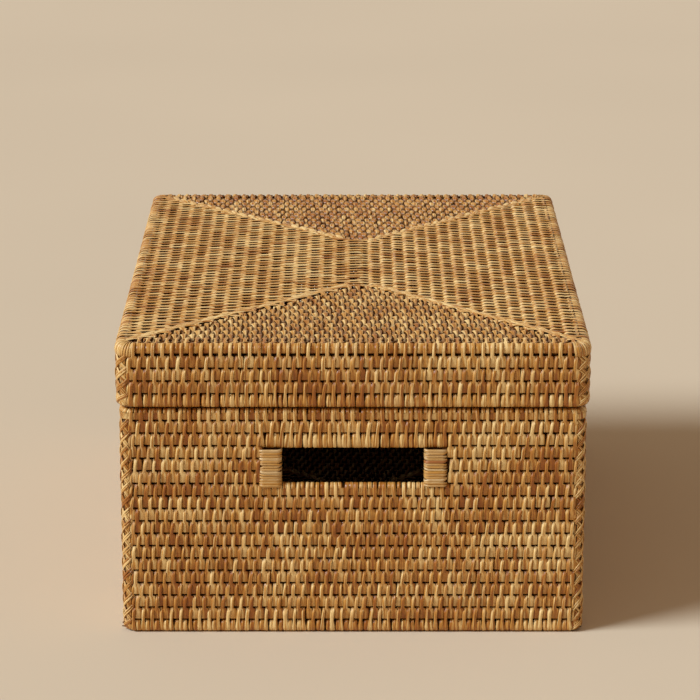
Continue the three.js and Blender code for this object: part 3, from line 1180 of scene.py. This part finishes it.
def weave_body_wall(wall):
    """All strands on the outer face of a body wall. At the rim, at the foot and at the edges of a hand
    hold they wrap round the edge rods."""
    bundle = StrandBundle(BODY_WALL_SEED + SEED_STEP * wall)
    bounds = row_bounds(BODY_ROWS, BODY_TOP)
    course, local, over_hold, in_hold = body_strands(bundle, wall)
    meets_hold = over_hold & (course == FIRST_CUT_ROW - 1)
    above_hold = over_hold & (course == FIRST_CUT_ROW - 2)
    below_hold = over_hold & (course == LAST_CUT_ROW + 1)
    plain = ~(in_hold | meets_hold | above_hold | below_hold) & (course > 0) & (course < LAST_ROW - 1)

    def lay(knots, chosen, shift=0.0, shaded=False):
        along = WALL_CENTRES[wall] + (local[chosen] + shift)
        lay_strands(
            bundle, outer_wall(BODY_TOP), bounds, knots, course[chosen], along, shaded=shaded
        )

    lay(CROSSING, plain, shaded=True)
    for over, extra in ((course == 0, 0.0), (below_hold, HOLD_FOOT_EXTRA)):
        lay(over_and_cross(extra), over)
        lay(over_only(extra), over, STRAND_SPACING / 2)
    for under, short, extra in (
        (course == LAST_ROW - 1, course == LAST_ROW, 0.0),
        (above_hold, meets_hold, HOLD_TOP_EXTRA),
    ):
        lay(cross_and_under(extra=extra), under)
        lay(under_only(extra=extra), short)
    return bundle


def line_body_wall(wall):
    """The plainer strands on the inner face of a body wall."""
    bundle = StrandBundle(BODY_WALL_SEED + SEED_STEP * wall + 1)
    bounds = row_bounds(BODY_ROWS, BODY_TOP)
    course, local, over_hold, in_hold = body_strands(bundle, wall)
    short = (over_hold & (course == FIRST_CUT_ROW - 1)) | (course == LAST_ROW)
    for knots, chosen in ((LEAN_CROSSING, ~(in_hold | short)), (LEAN_SHORT, short)):
        lay_strands(
            bundle, inner_wall(BODY_TOP), bounds, knots, course[chosen],
            WALL_CENTRES[wall] + local[chosen], True, LEAN_SECTION,
        )
    return bundle


def plait_corner(bundle, shell, bounds, corner, first_row, last_row):
    """The plait over one corner: for each row one strand each way, the second on top, over strands
    that fill the corner. The plait's last row is shorter."""
    course = np.arange(first_row, last_row + 1)
    middle = CORNER_CENTRES[corner] + PLAIT_SPREAD * bundle.rng.standard_normal(len(course))

    def lay(knots, rows, offset=0.0):
        lay_strands(bundle, shell, bounds, knots, course[rows], middle[rows] + offset)

    for offset in FILL_OFFSETS:
        lay(shifted(CROSSING, rise=-FILL_SINK), slice(None, -1), offset)
    for knots, sink in ((mirrored(PLAIT), PLAIT_SINK), (PLAIT, 0.0)):
        for part in (-PLAIT_SPLIT, PLAIT_SPLIT):
            half = shifted(narrower(knots, PLAIT_SHARE), part - PLAIT_LIFT, -sink)
            lay(half, slice(None, -1))
            lay(half * LAST_PLAIT, slice(-1, None))


def rim_corner(bundle, shell, bounds, corner, knots, row, offsets=RIM_OFFSETS):
    """Strands round the rim of one row at a corner, side by side."""
    course = np.full(len(offsets), row)
    lay_strands(bundle, shell, bounds, knots, course, CORNER_CENTRES[corner] + offsets, shaded=False)


def lean_side(corner):
    """Which way the strands of a corner lean, so that the corners of a wall mirror each other."""
    return 1 if corner in (0, 2) else -1


def weave_body_corners():
    """The plaits and the rim strands on the body's four corners."""
    bundle = StrandBundle(BODY_CORNER_SEED)
    bounds = row_bounds(BODY_ROWS, BODY_TOP)
    shell = outer_wall(BODY_TOP)
    for corner in range(4):
        lean = BODY_CORNER_LEAN * lean_side(corner)
        foot = shifted(leaning(under_only(), lean), rise=-BODY_FOOT_SINK)
        rim_corner(bundle, shell, bounds, corner, leaning(over_only(), lean), 0)
        rim_corner(bundle, shell, bounds, corner, foot, LAST_ROW)
        plait_corner(bundle, shell, bounds, corner, 1, LAST_ROW)
    return bundle


def weave_lid_corners():
    """The plaits on the corners of the lid's skirt, and the fans over its rounded upper corners."""
    bundle = StrandBundle(LID_CORNER_SEED)
    edge = PANEL_RODS + 1
    last = edge + LID_ROWS - 1
    for corner in range(4):
        bounds = lid_bounds(corner)
        lean = LID_CORNER_LEAN * lean_side(corner)
        fan = shifted(leaning(FAN, lean), side=-FAN_CENTRING * lean)
        foot = shifted(leaning(under_only(LID_WALL_THICKNESS), lean), rise=-LID_FOOT_SINK)
        rim_corner(bundle, lid_shell, bounds, corner, fan, edge, FAN_OFFSETS)
        rim_corner(bundle, lid_shell, bounds, corner, foot, last)
        plait_corner(bundle, lid_shell, bounds, corner, edge + 1, last)
    return bundle


def weave_lid_wall(wall):
    """The strands of one side of the lid's skirt and of its edge rod."""
    bundle = StrandBundle(LID_WALL_SEED + SEED_STEP * wall)
    edge = PANEL_RODS + 1
    last = edge + LID_ROWS - 1
    course, local = wall_strands(bundle.rng, wall, np.arange(edge, last + 1))
    edge_knots = finer(SIDE_EDGE_CROSSING if is_side(wall) else CROSSING)
    for knots, chosen, shaded in (
        (edge_knots, course == edge, True),
        (CROSSING, (course > edge) & (course < last - 1), True),
        (cross_and_under(LID_WALL_THICKNESS), course == last - 1, False),
        (under_only(LID_WALL_THICKNESS), course == last, False),
    ):
        along = WALL_CENTRES[wall] + local[chosen]
        lay_strands(bundle, lid_shell, lid_bounds(wall), knots, course[chosen], along, shaded=shaded)
    return bundle


def line_lid_wall(wall):
    """The plainer strands inside one side of the lid's skirt."""
    bundle = StrandBundle(LID_WALL_SEED + SEED_STEP * wall + 1)
    bounds = row_bounds(LID_ROWS, LID_TOP - LID_FOOT)
    course, local = wall_strands(bundle.rng, wall, np.arange(LID_ROWS - 1))
    lay_strands(
        bundle, inner_wall(LID_TOP), bounds, LEAN_CROSSING, course, WALL_CENTRES[wall] + local, True,
        LEAN_SECTION,
    )
    return bundle


# Weave on the panels

def panel_bounds(wall):
    """Distances in from the body's outline, counted as negative, at which the ridge and the rods of a
    panel begin and end on one side, from the middle outwards."""
    rods = -(PANEL_INSET - ROW_GAP / 2 + WALL_ROD_PITCH[wall] * np.arange(PANEL_RODS, -1, -1))
    return np.concatenate([rods[:1] - RIDGE_WIDTH, rods])


def lid_bounds(wall):
    """Distances down the unrolled lid at which the ridge, the panel's rods, the edge rod and the rows
    of the skirt begin and end, on one side of the lid."""
    flat_end = LID_OVERHANG - EDGE_RADIUS
    skirt_top = EDGE_ARC_LENGTH - EDGE_RADIUS
    skirt = skirt_top + ROW_PITCH * np.arange(1, LID_ROWS + 1) - ROW_GAP / 2
    skirt[-1] = skirt_top + LID_TOP - LID_FOOT
    return np.concatenate([panel_bounds(wall) - flat_end, skirt])


def panel_limits(wall, rod):
    """Both ends of a panel's rods on one side, where they meet the diagonals. rod counts from the edge."""
    before = WALL_ROD_PITCH[(wall + 3) % 4]
    after = WALL_ROD_PITCH[(wall + 1) % 4]
    reach = WALL_REACH[wall] - PANEL_INSET
    return -reach + rod * before, reach - rod * after


def weave_panel(wall, shell, bounds, seed, knots, last_half, section, flipped=False, paler=0.0):
    """The strands of one side of a flat panel, from its ridge out to its edge.

    Rows are counted from the ridge, so that a strand's first row is nearer to the middle.
    """
    bundle = StrandBundle(seed)
    courses = np.arange(0 if is_side(wall) else 1, PANEL_RODS + 1)
    rod_of_start = PANEL_RODS + 1 - courses - DIAGONAL_SHARE
    low, high = panel_limits(wall, np.clip(rod_of_start, 0, PANEL_RODS - RIDGE_SHARE))
    course, local = strand_places(bundle.rng, courses, low, high, PANEL_SPACING[wall])
    along = WALL_CENTRES[wall] + local
    edge_knots = np.concatenate([knots[:len(knots) // 2], finer(last_half)])
    for kind, chosen in ((knots, course < PANEL_RODS), (edge_knots, course == PANEL_RODS)):
        lay_strands(
            bundle, shell, bounds, kind, course[chosen], along[chosen], flipped, section, paler,
            PANEL_PATCHINESS,
        )
    return bundle


def weave_lid_top(wall):
    """The strands of one side of the lid's top."""
    last_half = SIDE_EDGE_HALF if is_side(wall) else EDGE_HALF
    return weave_panel(
        wall, lid_shell, lid_bounds(wall), LID_TOP_SEED + wall, LID_TOP_KNOTS[wall], last_half,
        FULL_SECTION, paler=LID_TOP_PALER[wall],
    )


def weave_plain_panel(wall, z, up, seed):
    """The plainer strands of one side of a panel's face that is seldom seen."""
    return weave_panel(
        wall, panel_face(z, up), panel_bounds(wall), seed, LEAN_CROSSING, LEAN_EDGE_HALF, LEAN_SECTION,
        up < 0,
    )


def seam_strip(corner, z, up):
    """A strip over a diagonal of a panel, and its length. Down runs from the ridge to the corner, along
    across the seam, and rise away from the panel."""
    side_x = (1, 1, -1, -1)[corner]
    side_y = (-1, 1, 1, -1)[corner]
    start_x = RIDGE_MIDDLE + side_x * RIDGE_WIDTH / 2
    start_y = side_y * RIDGE_END
    run_x = side_x * (HALF_WIDTH - PANEL_INSET) - start_x
    run_y = side_y * (HALF_DEPTH - PANEL_INSET) - start_y
    length = math.hypot(run_x, run_y)
    run_x /= length
    run_y /= length

    def place(along, down, rise):
        x = start_x + down * run_x - along * run_y
        y = start_y + down * run_y + along * run_x
        return np.stack([x, y, z + up * rise + 0 * x], axis=-1)

    return place, length


def weave_seam(bundle, corner, z, up):
    """The strands along one diagonal of a panel: long leaves that run along it, and strands that slant
    from it to one side. The slanting ones are short and thin at the front and broad at the back."""
    at_front = corner in (0, 3)
    to_side = lean_side(corner)
    strip, length = seam_strip(corner, z, up)

    def lay(knots, bounds, course, side, paler):
        along = np.full(len(course), side * to_side)
        lay_strands(bundle, strip, bounds, knots, course, along, up < 0, paler=paler)

    leaves = round(length / SEAM_LEAF_SHARE)
    leaf_bounds = np.linspace(-SEAM_BEFORE, length + SEAM_AFTER, leaves + 1)
    for shares, rise, side, paler in FRONT_LEAVES if at_front else BACK_LEAVES:
        lay(shifted(SEAM_LEAF, shares, rise), leaf_bounds, np.arange(leaves - 1), side, paler)
    knots, spacing, side, paler = FRONT_SLANTS if at_front else BACK_SLANTS
    slants = round(length / spacing)
    turned = knots if to_side > 0 else mirrored(knots)
    lay(turned, np.linspace(0, length, slants + 1), np.arange(1, slants - 1), side, paler)


def weave_seams(z, up, seed):
    """The strands along the four diagonals of a panel."""
    bundle = StrandBundle(seed)
    for corner in range(4):
        weave_seam(bundle, corner, z, up)
    return bundle


# Binders and laths

def node_middle(node):
    """The middle of a CAD node's box and half its sizes, in millimetres."""
    low = node_low(node)
    high = node_high(node)
    return (low + high) / 2, (high - low) / 2


def rounded_ring(half_x, half_y, radius, arc_steps=5):
    """Points and outward directions of a rounded rectangle, anticlockwise: a quarter circle at each
    corner, and the straight sides between them."""
    turn = np.linspace(0, math.pi / 2, arc_steps + 1)
    angle = np.concatenate([turn + quarter * math.pi / 2 for quarter in range(4)])
    centre_x = np.repeat([1, -1, -1, 1], arc_steps + 1) * (half_x - radius)
    centre_y = np.repeat([1, 1, -1, -1], arc_steps + 1) * (half_y - radius)
    out = np.stack([np.cos(angle), np.sin(angle)], axis=-1)
    return np.stack([centre_x, centre_y], axis=-1) + radius * out, out


def wrap_binder(bundle, node):
    """Closed wraps of cane round one binder: the cane's section carried round a rounded rectangle.

    Each wrap tips a little, and narrows on the side away from the hand hold.
    """
    rng = bundle.rng
    centre, half = node_middle(node)
    wraps = round(2 * half[2] / WRAP_HEIGHT)
    pitch = 2 * half[2] / wraps
    path, out = rounded_ring(half[0] - WRAP_INSET, half[1] - WRAP_INSET, BINDER_ROUNDING - WRAP_INSET)
    level = centre[2] - half[2] - BINDER_SAG + (np.arange(wraps) + 0.5) * pitch
    away = 0.5 + 0.5 * out[:, 0] * math.copysign(1, centre[0])
    tip = WRAP_TIP * rng.standard_normal((wraps, 1)) * out[:, 0]
    tip[[0, -1]] = 0
    narrowed = pitch * (WRAP_WIDTH - WRAP_NARROWING * away ** 4)
    width = narrowed * (1 + WRAP_SPREAD * rng.standard_normal((wraps, 1)))
    share = FULL_SECTION[:, 0]
    across = share * width[:, :, None]
    above = FULL_SECTION[:, 1] * (1 + WRAP_SPREAD * rng.standard_normal((wraps, 1, 1))) + 0 * across
    x = centre[0] + path[:, None, 0] + above * out[:, None, 0]
    y = centre[1] + path[:, None, 1] + above * out[:, None, 1]
    z = level[:, None, None] + tip[:, :, None] + across
    steps = np.linalg.norm(np.diff(path, axis=0, prepend=path[:1]), axis=-1)
    length = np.cumsum(steps)[:, None]
    tone = np.clip(WRAP_TONE + WRAP_TONE_SPREAD * rng.standard_normal(wraps), 0, 1)
    warmth = np.where(rng.random(wraps) < WARM_WRAP_SHARE, WARM_WRAP, USUAL_WRAP_WARMTH)
    points = np.stack([x, y, z], axis=-1)
    bundle.add(points, share, length, above - WRAP_INSET, tone, warmth, closed=True)


def wrap_binders():
    """The wraps of all four binders."""
    bundle = StrandBundle(BINDER_SEED)
    for node in BINDERS:
        wrap_binder(bundle, node)
    return bundle


def binder_core_mesh():
    """The post inside each binder's wraps, a plain rounded block a little smaller than they are."""
    parts = []
    for node in BINDERS:
        centre, half = node_middle(node)
        path, _ = rounded_ring(half[0] - CORE_INSET, half[1] - CORE_INSET, BINDER_ROUNDING - CORE_INSET)
        half_height = half[2] - CORE_SHORTER
        z = centre[2] - BINDER_SAG + np.array([[-half_height], [half_height]]) + 0 * path[:, 0]
        x = centre[0] + path[:, 0] + 0 * z
        y = centre[1] + path[:, 1] + 0 * z
        points = np.stack([x, y, z], axis=-1).reshape(-1, 3)
        parts.append((points, swept_faces(1, 2, len(path), False)))
    return merge_meshes(parts)


def lath_bundle():
    """The four locating laths: a rounded section carried along each one, its ends drawn in."""
    bundle = StrandBundle(LATH_SEED)
    for node in LATHS:
        centre, half = node_middle(node)
        long_axis = 0 if half[0] > half[1] else 1
        thin_axis = 1 - long_axis
        section, _ = rounded_ring(half[thin_axis], half[2], LATH_ROUNDING, 3)
        station = LATH_STATIONS * half[long_axis]
        inner = section * (1 - LATH_ROUNDING / half[[thin_axis, 2]])
        ring = inner + (section - inner) * LATH_FULLNESS[:, None, None]
        points = np.zeros((1, len(station), len(section), 3))
        points[0, :, :, long_axis] = station[:, None]
        points[0, :, :, thin_axis] = ring[:, :, 0]
        points[0, :, :, 2] = ring[:, :, 1]
        breadth = 2 * half[2]
        tone = np.array([LATH_TONE + LATH_TONE_SPREAD * bundle.rng.standard_normal()])
        bundle.add(
            points + centre, ring[None, :, :, 1] / breadth, station[None, :, None], np.zeros((1, 1, 1)),
            tone, np.array([LATH_WARMTH]), flipped=long_axis == 0, breadth=breadth,
        )
    return bundle


# Stage

def add_floor(size):
    """A flat square floor at the height of the box's underside."""
    half = size / 2 / MM
    points = np.array([[-half, -half, 0], [half, -half, 0], [half, half, 0], [-half, half, 0]], dtype=float)
    floor = make_mesh("floor", points, np.array([[0, 1, 2, 3]]), floor_material())


def aim(thing, target):
    """Turns a camera or a lamp so that it looks at a point."""
    direction = np.array(target) - np.array(thing.location)
    level = math.hypot(direction[0], direction[1])
    pitch = math.atan2(direction[2], level)
    heading = math.atan2(-direction[0], direction[1])
    thing.rotation_euler = (math.pi / 2 + pitch, 0.0, heading)


def add_sun():
    """Soft sunlight from the left and a little in front."""
    data = bpy.data.lights.new("key_light", "SUN")
    data.energy = SUN_STRENGTH
    data.angle = math.radians(SUN_SPREAD)
    data.color = SUN_COLOUR
    lamp = bpy.data.objects.new("key_light", data)
    lamp.location = SUN_PLACE
    bpy.context.scene.collection.objects.link(lamp)
    aim(lamp, SUN_TARGET)


def add_sky():
    """An even warm sky. The camera and glossy surfaces see a pale backdrop behind the box and a dim
    room before it."""
    world = bpy.data.worlds.new("soft_sky")
    world.use_nodes = True
    tree = world.node_tree
    tree.nodes.clear()
    sky = add_node(tree, "ShaderNodeBackground", (0, 100), {"Color": SKY_COLOUR, "Strength": SKY_STRENGTH})
    direction = add_node(tree, "ShaderNodeTexCoord", (-900, -200))
    parts = add_node(tree, "ShaderNodeSeparateXYZ", (-700, -200), {0: direction.outputs["Generated"]})
    behind = mask(tree, (-500, -200), parts.outputs["Y"], *BACKDROP_RANGE)
    room = mix_colours(tree, (-250, -200), behind, ROOM_COLOUR, BACKDROP_COLOUR)
    backdrop = add_node(tree, "ShaderNodeBackground", (0, -100), {"Color": room})
    path = add_node(tree, "ShaderNodeLightPath", (-50, 400)).outputs
    seen = calculate(tree, (150, 300), "MAXIMUM", path["Is Camera Ray"], path["Is Glossy Ray"])
    inputs = {0: seen, 1: sky.outputs["Background"], 2: backdrop.outputs["Background"]}
    chosen = add_node(tree, "ShaderNodeMixShader", (250, 100), inputs)
    add_node(tree, "ShaderNodeOutputWorld", (450, 100), {"Surface": chosen.outputs["Shader"]})
    bpy.context.scene.world = world


def add_camera():
    """The camera of the photograph: far off, a little above the box and looking down at it."""
    data = bpy.data.cameras.new("camera")
    data.lens = CAMERA_LENS
    data.sensor_width = CAMERA_SENSOR
    camera = bpy.data.objects.new("camera", data)
    camera.location = CAMERA_PLACE
    camera.rotation_euler = (math.radians(90 - CAMERA_TILT), 0.0, 0.0)
    bpy.context.scene.collection.objects.link(camera)
    bpy.context.scene.camera = camera


# Settings that a user may change

class RattanSizes(bpy.types.PropertyGroup):
    """Sizes of the weave and the floor."""

    strand_width: bpy.props.FloatProperty(
        name="Strand width", description="Width of a strand of cane, in millimetres", default=USUAL_WIDTH,
        min=2.0, max=4.0,
    )
    strand_thickness: bpy.props.FloatProperty(
        name="Strand thickness", description="Thickness of a strand, as a share of the usual one",
        default=1.0, min=0.5, max=1.5, subtype="FACTOR",
    )
    floor_size: bpy.props.FloatProperty(
        name="Floor size", description="Length of the floor's sides", default=14.0, unit="LENGTH",
    )


def colour_property(name, description, default):
    """A colour that a user may change."""
    return bpy.props.FloatVectorProperty(
        name=name, description=description, default=default, size=3, min=0.0, max=1.0, subtype="COLOR"
    )


class RattanColours(bpy.types.PropertyGroup):
    """Colours of the cane, the rods and the floor."""

    shade: colour_property("Shade", "Darkest strands", (0.33, 0.105, 0.012))
    middle: colour_property("Middle", "Usual strands", (0.62, 0.30, 0.058))
    light: colour_property("Light", "Palest strands", (0.88, 0.61, 0.26))
    reddish: colour_property("Reddish", "Strands with a red cast", (0.38, 0.11, 0.014))
    fleck: colour_property("Fleck", "Dark flecks of the skin", (0.24, 0.09, 0.018))
    # Painted shade: the colour that the strands and the rods darken towards in crevices and gaps
    crevice: colour_property("Crevice", "Painted shade between the strands", (0.045, 0.014, 0.003))
    pale: colour_property("Pale cane", "Wrapping of the binders", (0.60, 0.36, 0.13))
    palest: colour_property("Palest cane", "Light streaks of the binders", (0.82, 0.60, 0.32))
    floor: colour_property("Floor", "The floor", (0.656, 0.548, 0.416))


# Operators

def finish_weave(bundle, name, body, slot="woven_rattan"):
    """Makes a piece of honey-brown cane from its strands and hangs it on its body."""
    finish_piece(bundle.make(name, honey_cane()), body, slot)


class RattanOperator(bpy.types.Operator):
    """Shared settings of the operators that make the box."""

    bl_options = {"REGISTER", "UNDO"}


class RATTAN_OT_body_rods(RattanOperator):
    """Adds the rods of the body, whole rings and cut ones"""

    bl_idname = "rattan.body_rods"
    bl_label = "Body Rods"

    def execute(self, context):
        piece = make_mesh("body_rods", *body_rod_mesh(), rod_material())
        finish_piece(piece, "box_body", "woven_rattan", *BODY_ROW_NODES)
        return {"FINISHED"}


class RATTAN_OT_body_weave(RattanOperator):
    """Weaves the cane over both faces of the body's four walls"""

    bl_idname = "rattan.body_weave"
    bl_label = "Body Weave"

    def execute(self, context):
        for wall, name in enumerate(WALLS):
            finish_weave(weave_body_wall(wall), "body_weave_" + name, "box_body")
            finish_weave(line_body_wall(wall), "body_lining_" + name, "box_body")
        return {"FINISHED"}


class RATTAN_OT_lid_rods(RattanOperator):
    """Adds the rods of the lid: rings, mitred rods and the ridge"""

    bl_idname = "rattan.lid_rods"
    bl_label = "Lid Rods"

    def execute(self, context):
        panel = panel_rod_mesh((LID_TOP + LID_UNDERSIDE) / 2)
        piece = make_mesh("lid_rods", *merge_meshes([lid_ring_mesh(), panel]), rod_material())
        finish_piece(piece, "lid", "woven_rattan", *LID_NODES)
        return {"FINISHED"}


class RATTAN_OT_lid_skirt(RattanOperator):
    """Weaves the cane over the lid's skirt and its edge"""

    bl_idname = "rattan.lid_skirt"
    bl_label = "Lid Skirt"

    def execute(self, context):
        for wall, name in enumerate(WALLS):
            finish_weave(weave_lid_wall(wall), "lid_skirt_" + name, "lid")
            finish_weave(line_lid_wall(wall), "lid_lining_" + name, "lid")
        return {"FINISHED"}


class RATTAN_OT_lid_top(RattanOperator):
    """Weaves the cane over the lid's top and its underside"""

    bl_idname = "rattan.lid_top"
    bl_label = "Lid Top"

    def execute(self, context):
        for wall, name in enumerate(WALLS):
            underside = weave_plain_panel(wall, LID_UNDERSIDE, -1, LID_UNDERSIDE_SEED + wall)
            finish_weave(weave_lid_top(wall), "lid_top_" + name, "lid")
            finish_weave(underside, "lid_underside_" + name, "lid")
        for face, z, up in (("top", LID_TOP, 1), ("underside", LID_UNDERSIDE, -1)):
            finish_weave(weave_seams(z, up, LID_SEAM_SEED + up), "lid_%s_seams" % face, "lid")
        return {"FINISHED"}


class RATTAN_OT_corners(RattanOperator):
    """Plaits the cane over the corners of the body and of the lid"""

    bl_idname = "rattan.corners"
    bl_label = "Corners"

    def execute(self, context):
        finish_weave(weave_body_corners(), "body_corners", "box_body")
        finish_weave(weave_lid_corners(), "lid_corners", "lid")
        return {"FINISHED"}


class RATTAN_OT_base(RattanOperator):
    """Adds the base panel: its rods and the weave on both faces"""

    bl_idname = "rattan.base"
    bl_label = "Base"

    def execute(self, context):
        rods = make_mesh("base_rods", *panel_rod_mesh(BASE_TOP / 2), rod_material())
        finish_piece(rods, "box_body", "base_rattan", "base_panel")
        faces = (("floor", BASE_TOP, 1), ("underside", 0.0, -1))
        for wall, name in enumerate(WALLS):
            for face, z, up in faces:
                bundle = weave_plain_panel(wall, z, up, BASE_SEED + SEED_STEP * wall + up)
                finish_weave(bundle, "base_%s_%s" % (face, name), "box_body", "base_rattan")
        for face, z, up in faces:
            seams = weave_seams(z, up, BASE_SEAM_SEED + up)
            finish_weave(seams, "base_%s_seams" % face, "box_body", "base_rattan")
        return {"FINISHED"}


class RATTAN_OT_binders(RattanOperator):
    """Wraps the posts at both ends of the hand holds with pale cane"""

    bl_idname = "rattan.binders"
    bl_label = "Binders"

    def execute(self, context):
        cores = make_mesh("binder_cores", *binder_core_mesh(), rod_material())
        finish_piece(cores, "box_body", "binder_cane", *BINDERS)
        wraps = wrap_binders().make("binder_wraps", pale_cane())
        finish_piece(wraps, "box_body", "binder_cane")
        return {"FINISHED"}


class RATTAN_OT_laths(RattanOperator):
    """Adds the laths inside the rim, which hold the lid in place"""

    bl_idname = "rattan.laths"
    bl_label = "Laths"

    def execute(self, context):
        piece = lath_bundle().make("locating_laths", lath_cane())
        finish_piece(piece, "box_body", "lath", *LATHS)
        return {"FINISHED"}


class RATTAN_OT_stage(RattanOperator):
    """Adds the floor, the soft light and the camera"""

    bl_idname = "rattan.stage"
    bl_label = "Stage"

    def execute(self, context):
        add_floor(context.scene.rattan_sizes.floor_size)
        add_sun()
        add_sky()
        add_camera()
        return {"FINISHED"}


OPERATORS = (
    RATTAN_OT_body_rods,
    RATTAN_OT_body_weave,
    RATTAN_OT_lid_rods,
    RATTAN_OT_lid_skirt,
    RATTAN_OT_lid_top,
    RATTAN_OT_corners,
    RATTAN_OT_base,
    RATTAN_OT_binders,
    RATTAN_OT_laths,
    RATTAN_OT_stage,
)


# Panel and registration

class RATTAN_PT_panel(bpy.types.Panel):
    """Lists the pieces of the box in the 3D view's sidebar"""

    bl_label = "Rattan Box"
    bl_idname = "RATTAN_PT_panel"
    bl_space_type = "VIEW_3D"
    bl_region_type = "UI"
    bl_category = "Rattan Box"

    def draw(self, context):
        for operator in OPERATORS:
            self.layout.operator(operator.bl_idname)
        for group in (context.scene.rattan_sizes, context.scene.rattan_colours):
            for name in group.bl_rna.properties.keys():
                if name not in ("rna_type", "name"):
                    self.layout.prop(group, name)


CLASSES = (RattanSizes, RattanColours) + OPERATORS + (RATTAN_PT_panel,)


def register():
    """Makes the settings, the operators and the panel known to Blender."""
    for item in CLASSES:
        bpy.utils.register_class(item)
    bpy.types.Scene.rattan_sizes = bpy.props.PointerProperty(type=RattanSizes)
    bpy.types.Scene.rattan_colours = bpy.props.PointerProperty(type=RattanColours)


def unregister():
    """Takes them out again, in the opposite order."""
    del bpy.types.Scene.rattan_colours
    del bpy.types.Scene.rattan_sizes
    for item in reversed(CLASSES):
        bpy.utils.unregister_class(item)


def main():
    register()
    bpy.context.scene.view_settings.view_transform = "Standard"
    bpy.ops.rattan.body_rods()
    bpy.ops.rattan.body_weave()
    bpy.ops.rattan.lid_rods()
    bpy.ops.rattan.lid_skirt()
    bpy.ops.rattan.lid_top()
    bpy.ops.rattan.corners()
    bpy.ops.rattan.base()
    bpy.ops.rattan.binders()
    bpy.ops.rattan.laths()
    bpy.ops.rattan.stage()


if __name__ == "__main__":
    main()
